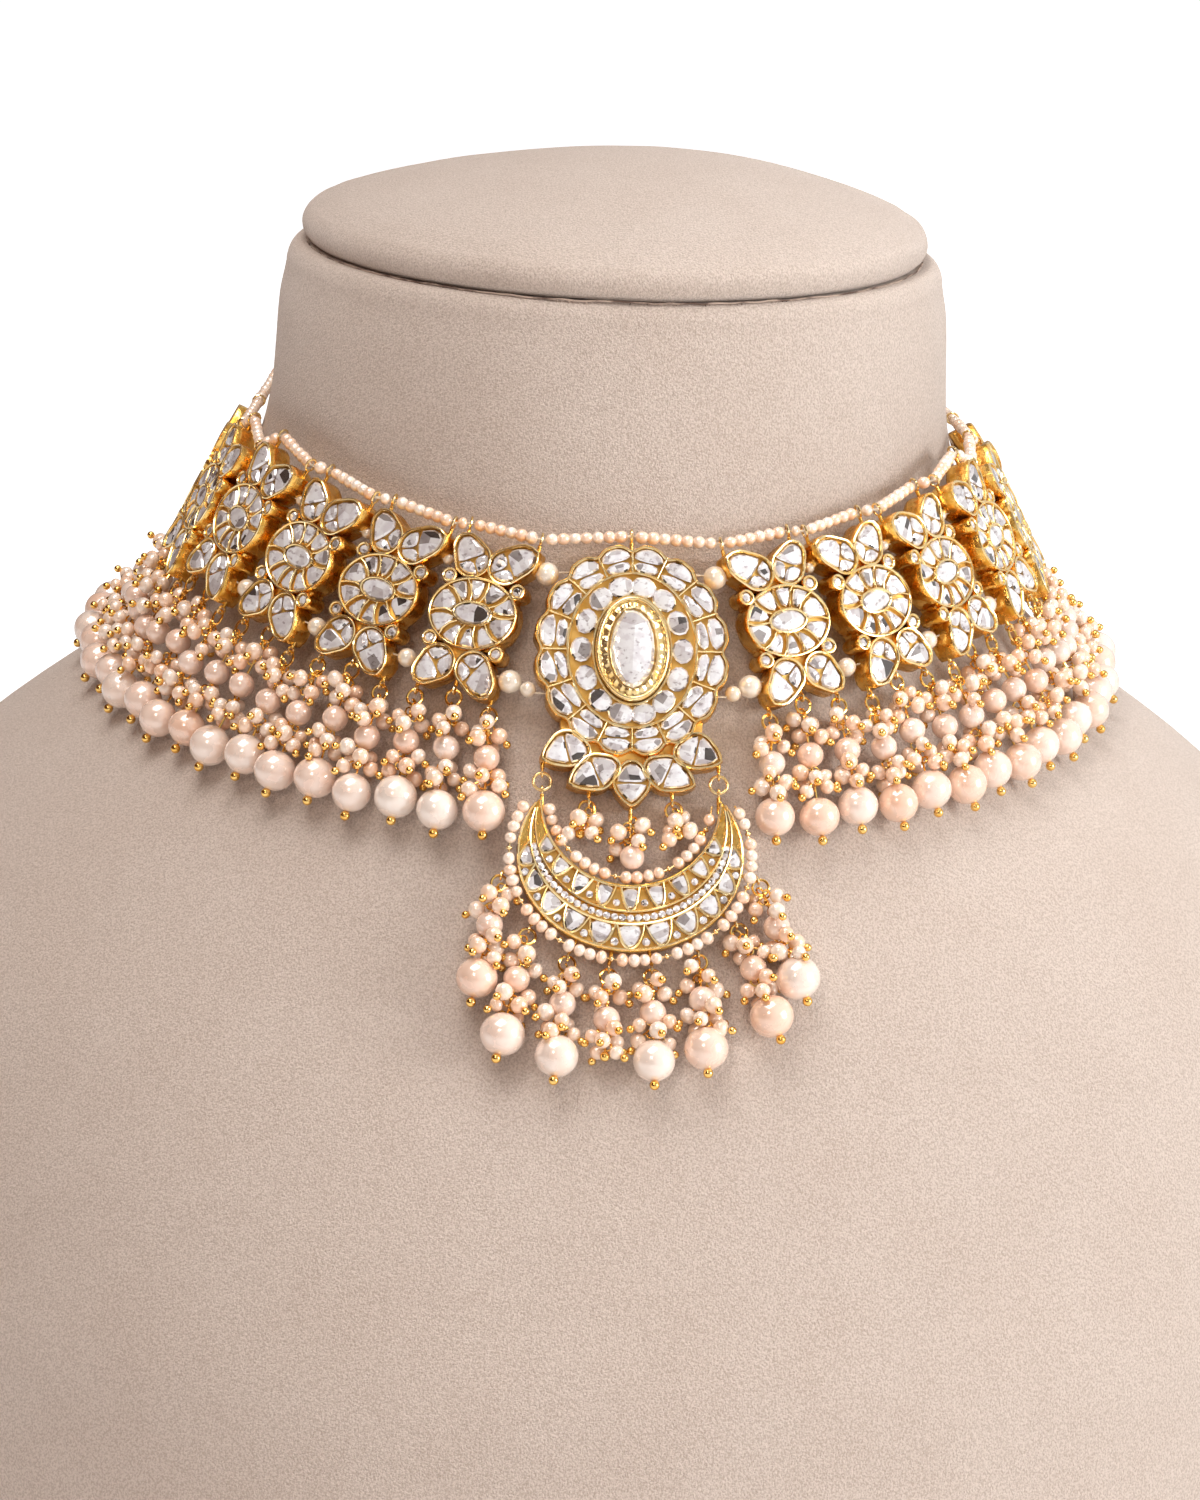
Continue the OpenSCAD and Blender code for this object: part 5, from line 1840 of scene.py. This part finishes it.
@dataclass
class TopString:
    """Seed pearls through the plaques' eyes and round the back of the neck to the clasp."""

    palette: Palette
    seed_d: float = 1.8
    pearl_lift: float = 0.45
    side_v: float = -6
    back_rise: float = 8
    clasp_l: float = 9
    clasp_r: float = 1.7
    clasp_rows: Pairs = (
        (-4.5, 0.75), (-4.4, 1.15), (-3.6, 1.19), (-3.5, 1.5), (-3.2, 1.7), (-2.7, 1.7),
        (-2.5, 1.5), (-0.25, 1.66), (-0.12, 1.5), (0.12, 1.5), (0.25, 1.66), (2.5, 1.5),
        (2.7, 1.7), (3.2, 1.7), (3.5, 1.5), (3.6, 1.19), (4.4, 1.15), (4.5, 0.75),
    )
    post_room: float = 0.75
    pitch: float = 1.7
    thread_r: float = 0.2
    sample: float = 0.25

    def runs(self, plaque: Plaque, pendant: Pendant) -> list[Points]:
        """The stretches of the string between eyes, and round the back."""
        stops: list[Points] = []
        for side, k in COLLAR.order():
            place = COLLAR.place(side, k)
            if side is Side.RIGHT and k == 1:
                stops.append(PENDANT_PLACE.point(0, pendant.post_y, MID_DEPTH))
            posts = plaque.posts if side is Side.RIGHT else plaque.posts[::-1]
            stops += [place.point(*p, MID_DEPTH) for p in posts]
        runs = [np.array([a, b]) for a, b in zip(stops[:-1], stops[1:])]
        lift = self.seed_d / 2 + self.pearl_lift
        back = [NECK.above(t, self.side_v - self.back_rise * cos(t), lift) for t in range(100, 173, 8)]
        clasp = self.clasp()
        right = np.array([stops[-1], *back, clasp + vec(self.clasp_l / 2, 0, 0)])
        left = np.array([stops[0], *[p * vec(-1, 1, 1) for p in back], clasp - vec(self.clasp_l / 2, 0, 0)])
        return runs + [right, left]

    def clasp(self) -> Points:
        """Middle of the clasp at the back of the neck."""
        return NECK.skin(180, self.side_v + self.back_rise) + vec(0, self.clasp_r + self.pearl_lift, 0)

    def build(self, plaque: Plaque, pendant: Pendant) -> None:
        """Builds the seeds, their thread and the clasp."""
        random = np.random.default_rng(17)
        beads, paths = [], []
        for run in self.runs(plaque, pendant):
            fine = spaced(run, max(2, int(run_along(run)[-1] / self.sample)))
            length = run_along(fine)
            paths.append(Path(spaced(run, max(2, int(length[-1] / 2)))))
            room = length[-1] - 2 * self.post_room
            count = max(1, int(round(room / self.pitch)))
            half = room / count / 2
            for i in range(count):
                s = self.post_room + half * (2 * i + 1)
                at = np.array([np.interp(s, length, fine[:, c]) for c in range(3)])
                axis = unit(heading(fine, length, s)[1] + random.uniform(-0.1, 0.1, 3))
                r = random.uniform(0.9, 1.06)
                beads.append(Bead(at, r, half * random.uniform(1.1, 1.24), axis, random.uniform(0.1, 1)))
        tools = self.palette
        seeds = tools.beads.beads(beads, tools.seed, 14, 8, uneven=0.08, grain=1.2)
        piece_of("top_string_seeds", tools.seed, Slot.PEARL, ["top_string"], [seeds])
        thread = tools.wires.bars(paths, self.thread_r, tools.silk)
        piece_of("top_string_thread", tools.silk, Slot.THREAD, (), [thread])
        self.build_clasp()

    def build_clasp(self) -> None:
        """Builds the barrel clasp with turned beads at its ends."""
        pile = MeshPile()
        place = Place(self.clasp(), np.stack([vec(0, 1, 0), vec(0, 0, 1), vec(1, 0, 0)], 1))
        pile.loft([place.flat(circle(r, 28), x) for x, r in self.clasp_rows])
        pile.piece("clasp_barrel", [self.palette.gold], Slot.GOLD, ["clasp"], 35)


@dataclass
class Threads:
    """The two threads through the drilled plaques and the pendant, with spacer pearls."""

    palette: Palette
    upper_y: float = 7.6
    lower_y: float = -9
    upper_ends: Pair = (-8, 5)
    lower_ends: Pair = (-6.6, 6.6)
    upper_pendant: Pair = (10.9, 12.6)
    lower_pendant: Pair = (14.6, -6.6)
    thread_r: float = 0.15
    upper_d: float = 1.7
    lower_d: float = 3.0
    side_d: float = 3.7
    small_d: float = 2.5
    side_at: Pair = (0.3, 0.7)
    small_at: Pair = (0.78, 0.22)

    def run(self, y: float, ends: Pair, pendant: Pair) -> Points:
        """Points of one thread from the left end to the right end."""
        points = []
        for side, k in COLLAR.order():
            if side is Side.RIGHT and k == 1:
                points += [PENDANT_PLACE.point(s * pendant[0], pendant[1], MID_DEPTH) for s in (-1, 1)]
            order = ends if side is Side.RIGHT else ends[::-1]
            points += [COLLAR.place(side, k).point(x, y, MID_DEPTH) for x in order]
        return np.array(points)

    def build(self) -> None:
        """Builds both threads and their pearls."""
        random, tools = np.random.default_rng(23), self.palette
        for name, y, ends, pendant in (
            ("upper", self.upper_y, self.upper_ends, self.upper_pendant),
            ("lower", self.lower_y, self.lower_ends, self.lower_pendant),
        ):
            run = self.run(y, ends, pendant)
            silk = tools.wires.bars([Path(run)], self.thread_r, tools.silk, 8)
            piece_of(f"{name}_silk", tools.silk, Slot.THREAD, [f"{name}_thread"], [silk])
            beads = []
            for i in range(1, len(run) - 2, 2):
                a, b = run[i], run[i + 1]
                for share, d in self.spots(name, i):
                    tone = random.uniform(0.3, 1)
                    beads.append(Bead(a + (b - a) * share, d / 2, d / 2, unit(b - a), tone))
            pearls = tools.beads.beads(beads, tools.ivory, 28, 18, uneven=0.03, grain=2.5)
            piece_of(f"{name}_spacers", tools.ivory, Slot.PEARL, [f"{name}_spacer_pearls"], [pearls])

    def spots(self, name: str, i: int) -> list[Pair]:
        """Place along a gap and diameter of each of its spacer pearls.

        Args:
            name: The thread, upper or lower.
            i: Number of the point of the thread where the gap starts.

        Returns:
            A share of the gap and a diameter for each pearl.
        """
        middle = 2 * COLLAR.count - 1
        by_pendant = i in (middle, middle + 2)
        if name == "upper":
            return [(0.5, self.side_d if by_pendant else self.upper_d)]
        if not by_pendant:
            return [(0.5, self.lower_d)]
        after = int(i > middle)
        return [(self.side_at[after], self.side_d), (self.small_at[after], self.small_d)]


@dataclass(frozen=True)
class Strand:
    """A hanging strand: its loop, its last pearl's middle and radius, and the loop's axis."""

    loop: Points
    end: Points
    axis: Points
    bead_r: float

    @property
    def length(self) -> float:
        """Distance from the loop to the last pearl's middle."""
        return float(np.linalg.norm(self.end - self.loop))

    @property
    def place(self) -> Place:
        """Frame whose z runs down the strand."""
        return Place.along(self.loop, self.end, self.axis)


@dataclass
class Fringe:
    """All strands: rings, wound wires, clusters of seeds on ball-headed pins, medium and large pearls."""

    palette: Palette
    large_d: float = 6.6
    drop_d: float = 6.8
    medium_d: float = 4.2
    hanging_d: float = 3.8
    pearl_row: float = -39.6
    first_pearl: float = 15.9
    pearl_step: float = 5
    pearl_spread: float = 0.35
    spread_from: int = 13
    row_fall: float = 2.5
    row_stagger: float = 0.7
    pearl_lift: float = 0.45
    jump_r: float = 1.25
    wire_r: float = 0.22
    cluster_seed_r: float = 1.36
    cluster_out: float = 1.85
    cluster_spread: float = 3.3
    cluster_reach: float = 2.5
    seed_turn: float = 137.5
    cluster_l: float = 2.24
    tail: float = 0.5
    ball_r: float = 0.78
    pin_ball_r: float = 0.66
    pin_grip: float = 0.9
    ball_grip: float = 0.85
    pin_loop_r: float = 0.62
    fine_r: float = 0.17
    stem_r: float = 0.19
    stem_loop_r: float = 0.45
    coil_r: float = 0.3
    coil_turns: int = 4
    coil_from: float = 0.85
    coil_l: float = 0.9
    medium_flat: float = 0.97
    pendant_rows: Rows = (
        (-6.4, -23.4, -7.6, -28), (0, -27.2, 0.3, -32), (6.4, -23.4, 7.4, -28),
    )

    def side_strands(self, side: Side, plaque: Plaque) -> list[Strand]:
        """The strands of one side of the collar."""
        made = []
        for k in range(1, COLLAR.count + 1):
            place = COLLAR.place(side, k)
            axis = side.value * (place.point(0, 0, 0) - place.point(1, 0, 0))
            for j, loop in enumerate(plaque.loops):
                n = 3 * (k - 1) + j
                spread = self.pearl_spread * max(0, n - self.spread_from) ** 2
                q = self.first_pearl + self.pearl_step * n + spread
                v = self.pearl_row - self.row_fall * (1 - cos(q)) - self.row_stagger * (n % 2)
                end = NECK.above(side.value * q, v, self.large_d / 2 + self.pearl_lift)
                made.append(Strand(place.point(*loop[:2], MID_DEPTH), end, axis, self.large_d / 2))
        return made

    def crescent_strands(self, crescent: Crescent) -> list[Strand]:
        """The strands below the crescent."""
        made = []
        for row in crescent.strands:
            p, h = crescent.rim_point(row[0], crescent.loop_out), crescent.hang(row)
            y = row[2] + crescent.centre_y
            v = PENDANT_PLACE.origin[2] + y * cos(PENDANT_LEAN)
            t = math.degrees(math.asin(row[1] / NECK.value(v, 2)))
            end = NECK.above(t, v, self.drop_d / 2 + self.pearl_lift)
            axis = -(turn_x(90 - PENDANT_LEAN) @ vec(cos(h), sin(h), 0))
            loop = PENDANT_PLACE.point(*p, crescent.rim_depth)
            made.append(Strand(loop, end, axis, row[3] * self.drop_d / 2))
        return made

    def pendant_strands(self) -> list[Strand]:
        """The three short strands below the pendant."""
        made = []
        for i, row in enumerate(self.pendant_rows):
            a, b = PENDANT_PLACE.point(*row[:2], MID_DEPTH), PENDANT_PLACE.point(*row[2:], MID_DEPTH)
            made.append(Strand(a, b, vec(-1, 0, 0), self.hanging_d / 2 if i == 1 else 0))
        return made

    def places(self, s: Strand) -> Triple:
        """Places along a strand of its first cluster, medium pearl and second cluster."""
        top = 2 * self.jump_r + self.wire_r
        room = (s.length - s.bead_r - top - 2 * self.cluster_l - self.medium_d) / 4
        return (
            top + room + self.cluster_l / 2,
            top + 2 * room + self.cluster_l + self.medium_d / 2,
            s.length - s.bead_r - room - self.cluster_l / 2,
        )

    def cluster(
        self,
        work: "FringeWork",
        place: Place,
        z: float,
        random: np.random.Generator,
        count: int = 5,
        beside: Sequence[Pair] = (),
    ) -> None:
        """Seed pearls on ball-headed pins, wound round the wire at one height.

        Args:
            work: Where the paths and beads go.
            place: Frame of the strand.
            z: Height of the cluster's middle along it.
            random: Source of the small differences.
            count: How many pearls.
            beside: Heights and radii of the pearls that they lie against.
        """
        start = random.uniform(0, 360)
        for i in range(count):
            q = start + self.seed_turn * i + random.uniform(-12, 12)
            out = vec(cos(q), sin(q), 0)
            r = self.cluster_seed_r * random.uniform(0.84, 1.08)
            high = z + (i / (count - 1) - 0.5) * self.cluster_spread
            reach = self.cluster_out * random.uniform(0.92, 1.15)
            for at_z, big in beside:
                clear = (big + r * self.pin_grip) ** 2 - (high - at_z) ** 2
                reach = max(reach, math.sqrt(max(0.0, clear)))
            at = vec(0, 0, high) + out * min(reach, self.cluster_reach)
            pin = unit(out * random.uniform(0.6, 1.0) + vec(0, 0, random.uniform(0.2, 1.1)))
            axis = place.axes @ pin
            half, tone = r * random.uniform(0.82, 0.95), random.uniform(0, 0.9)
            work.seeds.append(Bead(place.put(at)[0], r, half, axis, tone))
            tip = at + pin * (r * self.pin_grip + self.pin_ball_r * self.ball_grip)
            work.balls.append(Bead(place.put(tip)[0], self.pin_ball_r, self.pin_ball_r, axis))
            turn = turn_z(q) @ turn_x(random.uniform(50, 100))
            middle = vec(0, 0, at[2] - 0.9)
            loop = lifted(circle(self.pin_loop_r, 9), 0) @ turn.T + middle + out * 0.45
            work.fine.append(Path(place.put(np.vstack([loop, at - pin * r * self.ball_grip]))))

    def wire(self, work: "FringeWork", s: Strand, ball: bool = True) -> None:
        """Jump ring, wound wire and end ball of one strand."""
        place, low = s.place, 2 * self.jump_r
        q = np.arange(22) * 360 / 22
        ring = np.stack([np.zeros(22), self.jump_r * cos(q), self.jump_r + self.jump_r * sin(q)], 1)
        work.rings.append(Path(place.put(ring), True))
        end = s.length + s.bead_r + (self.tail if ball else -self.wire_r)
        w, r = np.arange(9) * 40, self.stem_loop_r
        loop = np.stack([r * sin(w), np.zeros(9), low + 0.3 - r * cos(w)], 1)
        work.stems.append(Path(place.put(np.array([[0, 0, low + 0.1], [0, 0, end]]))))
        a = np.arange(0, self.coil_turns * 360, 60)
        high = low + self.coil_from + self.coil_l * a / a[-1]
        coil = np.stack([self.coil_r * cos(a), self.coil_r * sin(a), high], 1)
        work.fine += [Path(place.put(loop)), Path(place.put(coil))]
        if ball:
            work.ends.append(Bead(place.point(0, 0, end), self.ball_r, self.ball_r, place.axes[:, 2]))

    def build_group(self, name: str, strands: Sequence[Strand], extra: Sequence[Strand], seed: int) -> None:
        """Builds the strands of one group of nodes.

        Args:
            name: left, right or crescent.
            strands: Full strands.
            extra: Short strands below the pendant.
            seed: Fixed seed of the small differences.
        """
        random, work = np.random.default_rng(seed), FringeWork()
        large, medium = [], []
        for s in strands:
            self.wire(work, s)
            a, m, b = self.places(s)
            beside = ((m, self.medium_d / 2), (s.length, s.bead_r))
            self.cluster(work, s.place, a, random, 5, beside)
            self.cluster(work, s.place, b, random, 6, beside)
            axis = s.place.axes[:, 2]
            at, r = s.place.point(0, 0, m), self.medium_d / 2
            medium.append(Bead(at, r, r * self.medium_flat, axis, random.uniform(0.3, 0.9)))
            if s.bead_r:
                r = s.bead_r * random.uniform(0.92, 1.03)
                large.append(Bead(s.end, r, r * random.uniform(0.94, 1.0), axis, random.uniform(0.2, 1)))
        for s in extra:
            self.wire(work, s, ball=s.bead_r == 0)
            if s.bead_r:
                medium.append(Bead(s.end, s.bead_r, s.bead_r, s.place.axes[:, 2], 0.5))
                self.cluster(work, s.place, s.length - s.bead_r - 1.2, random, 5, ((s.length, s.bead_r),))
            else:
                self.cluster(work, s.place, s.length - self.cluster_l / 3, random, 5)
        self.dress(name, work, medium, large)

    def dress(self, name: str, work: "FringeWork", medium: Sequence[Bead], large: Sequence[Bead]) -> None:
        """Makes the pieces of one group."""
        p = self.palette
        beads, bars = p.beads.beads, p.wires.bars
        gold = [
            bars(work.rings, self.wire_r, p.wire, 7),
            bars(work.stems, self.stem_r, p.wire, 6),
            bars(work.fine, self.fine_r, p.wire, 5),
            beads(work.balls, p.wire, 8, 6),
            beads(work.ends, p.wire, 14, 10),
        ]
        piece_of(f"{name}_fringe_gold", p.wire, Slot.GOLD, [f"{name}_fringe_wires"], gold)
        for kind, rows, finish, looks, node in (
            ("fringe_seeds", work.seeds, p.seed, (12, 8, 0.1, 1.3), "fringe_wires"),
            ("medium", medium, p.pearl, (24, 16, 0.07, 3), "medium_pearls"),
            ("large", large, p.pearl, (32, 22, 0.06, 5), "large_pearls"),
        ):
            pearls = beads(rows, finish, *looks)
            piece_of(f"{name}_{kind}", finish, Slot.PEARL, [f"{name}_{node}"], [pearls])

    def build(self, plaque: Plaque, crescent: Crescent) -> None:
        """Builds every strand."""
        self.build_group("left", self.side_strands(Side.LEFT, plaque), (), 41)
        self.build_group("right", self.side_strands(Side.RIGHT, plaque), (), 43)
        self.build_group("crescent", self.crescent_strands(crescent), self.pendant_strands(), 47)


@dataclass
class FringeWork:
    """The paths and beads of one group of strands while it is built."""

    rings: list[Path] = field(default_factory=list)
    stems: list[Path] = field(default_factory=list)
    fine: list[Path] = field(default_factory=list)
    balls: list[Bead] = field(default_factory=list)
    ends: list[Bead] = field(default_factory=list)
    seeds: list[Bead] = field(default_factory=list)


@dataclass(frozen=True)
class Lamp:
    """A soft light: its name, where it stands in metres, the point it faces, width, watts and colour."""

    name: str
    at: Triple
    aim: Triple
    size: float
    power: float
    tint: Triple


@dataclass(frozen=True)
class Studio:
    """Camera, pale floor and soft lights."""

    eye: Triple = (-0.0562, -0.720, 0.3445)
    azimuth: float = 4.348
    dip: float = 16.007
    roll: float = 2.3556
    focal_px: float = 4596.1
    width_px: float = 1200
    height_px: float = 1500
    sensor: float = 36
    dim: Colour = (0.16, 0.08, 0.055, 1)
    bright: Colour = (1.0, 1.0, 1.02, 1)
    sky: float = 0.75
    paper: Colour = (0.93, 0.93, 0.93, 1)
    paper_dark: Colour = (0.9, 0.9, 0.9, 1)
    paper_glow: float = 0.62
    floor_r: float = 6
    floor_z: float = -0.0005
    lamps: tuple[Lamp, ...] = (
        Lamp("key", (1.9, -0.95, 0.6), (0, -0.03, 0.15), 0.8, 32.5, (0.96, 0.98, 1)),
        Lamp("window", (-0.4, -1.0, 0.85), (0, 0, 0.15), 0.2, 2, (1, 0.85, 0.74)),
        Lamp("top", (-0.2, -0.16, 1.2), (0, 0, 0.15), 0.6, 9.2, (1, 1, 1)),
    )

    def camera(self) -> None:
        """Makes the camera at the photo's viewing angle."""
        level = cos(self.dip)
        forward = Vector((sin(self.azimuth) * level, cos(self.azimuth) * level, -sin(self.dip)))
        right = Vector((cos(self.azimuth), -sin(self.azimuth), 0))
        up = right.cross(forward)
        rolled = right * cos(self.roll) + up * sin(self.roll)
        above = up * cos(self.roll) - right * sin(self.roll)
        data = bpy.data.cameras.new("camera")
        data.sensor_width = self.sensor
        data.sensor_fit = "AUTO"
        data.lens = self.focal_px * self.sensor / max(self.width_px, self.height_px)
        data.clip_start, data.clip_end = 0.01, 20
        camera = bpy.data.objects.new("camera", data)
        turn = Matrix((rolled, above, -forward)).transposed()
        camera.matrix_world = Matrix.Translation(self.eye) @ turn.to_4x4()
        bpy.context.scene.collection.objects.link(camera)
        bpy.context.scene.camera = camera

    def floor(self) -> None:
        """Makes the pale floor, a wide disc."""
        mesh = bpy.data.meshes.new("studio_floor")
        mesh.from_pydata(lifted(circle(self.floor_r, 96), self.floor_z), [], [tuple(range(96))])
        f = Finish("pale_paper", Roughness=0.9)
        f.shader["Emission Strength"].default_value = self.paper_glow
        f.feed(f.node("ShaderNodeLightPath").outputs["Is Camera Ray"], f.shader["Emission Color"])
        f.colour(f.mottle(self.paper, self.paper_dark, scale=3)["Color"])
        mesh.materials.append(f.material)
        obj = bpy.data.objects.new("studio_floor", mesh)
        bpy.context.scene.collection.objects.link(obj)

    def light(self, lamp: Lamp) -> None:
        """Makes one soft light."""
        data = bpy.data.lights.new(lamp.name, "AREA")
        data.shape = "RECTANGLE"
        data.size, data.size_y = lamp.size, lamp.size * 1.3
        data.energy, data.color = lamp.power, lamp.tint
        obj = bpy.data.objects.new(lamp.name, data)
        obj.location = lamp.at
        obj.rotation_euler = (Vector(lamp.aim) - Vector(lamp.at)).to_track_quat("-Z", "Y").to_euler()
        bpy.context.scene.collection.objects.link(obj)

    def world(self) -> None:
        """Makes a soft sky that is brighter on the right, as a large window is, in front of white paper."""
        world = bpy.data.worlds.new("studio")
        world.use_nodes = True
        sky = Nodes(world.node_tree)
        where = sky.node("ShaderNodeTexCoord").outputs["Generated"]
        split = sky.node("ShaderNodeSeparateXYZ", {"Vector": where})
        spread = sky.node("ShaderNodeMapRange", {"From Min": -1, "Value": split.outputs["X"]})
        ramp = sky.node("ShaderNodeValToRGB", {"Fac": spread.outputs["Result"]})
        for element, (at, colour) in zip(ramp.color_ramp.elements, ((0.32, self.dim), (0.72, self.bright))):
            element.position, element.color = at, colour
        background = sky.tree.nodes["Background"]
        sky.feed(self.sky, background.inputs["Strength"])
        sky.feed(ramp.outputs["Color"], background.inputs["Color"])
        ray = sky.node("ShaderNodeLightPath").outputs["Is Camera Ray"]
        paper = sky.node("ShaderNodeBackground", {"Color": WHITE})
        both = {"Fac": ray, 1: background.outputs["Background"], 2: paper.outputs["Background"]}
        mix = sky.node("ShaderNodeMixShader", both)
        sky.feed(mix.outputs["Shader"], sky.tree.nodes["World Output"].inputs["Surface"])
        bpy.context.scene.world = world
        bpy.context.scene.view_settings.view_transform = "Standard"

    def build(self) -> None:
        """Builds the studio."""
        self.camera()
        self.floor()
        for lamp in self.lamps:
            self.light(lamp)
        self.world()


def main() -> None:
    """Builds every piece in order."""
    logging.basicConfig(level=logging.INFO, format="%(message)s")
    noise.seed_set(NOISE_SEED)
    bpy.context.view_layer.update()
    Studio().build()
    palette = Palette()
    Bust(palette).build()
    plaque, pendant, crescent = Plaque(palette), Pendant(palette), Crescent(palette)
    plaque.build()
    pendant.build()
    crescent.build()
    TopString(palette).build(plaque, pendant)
    Threads(palette).build()
    Fringe(palette).build(plaque, crescent)


if __name__ == "__main__":
    main()
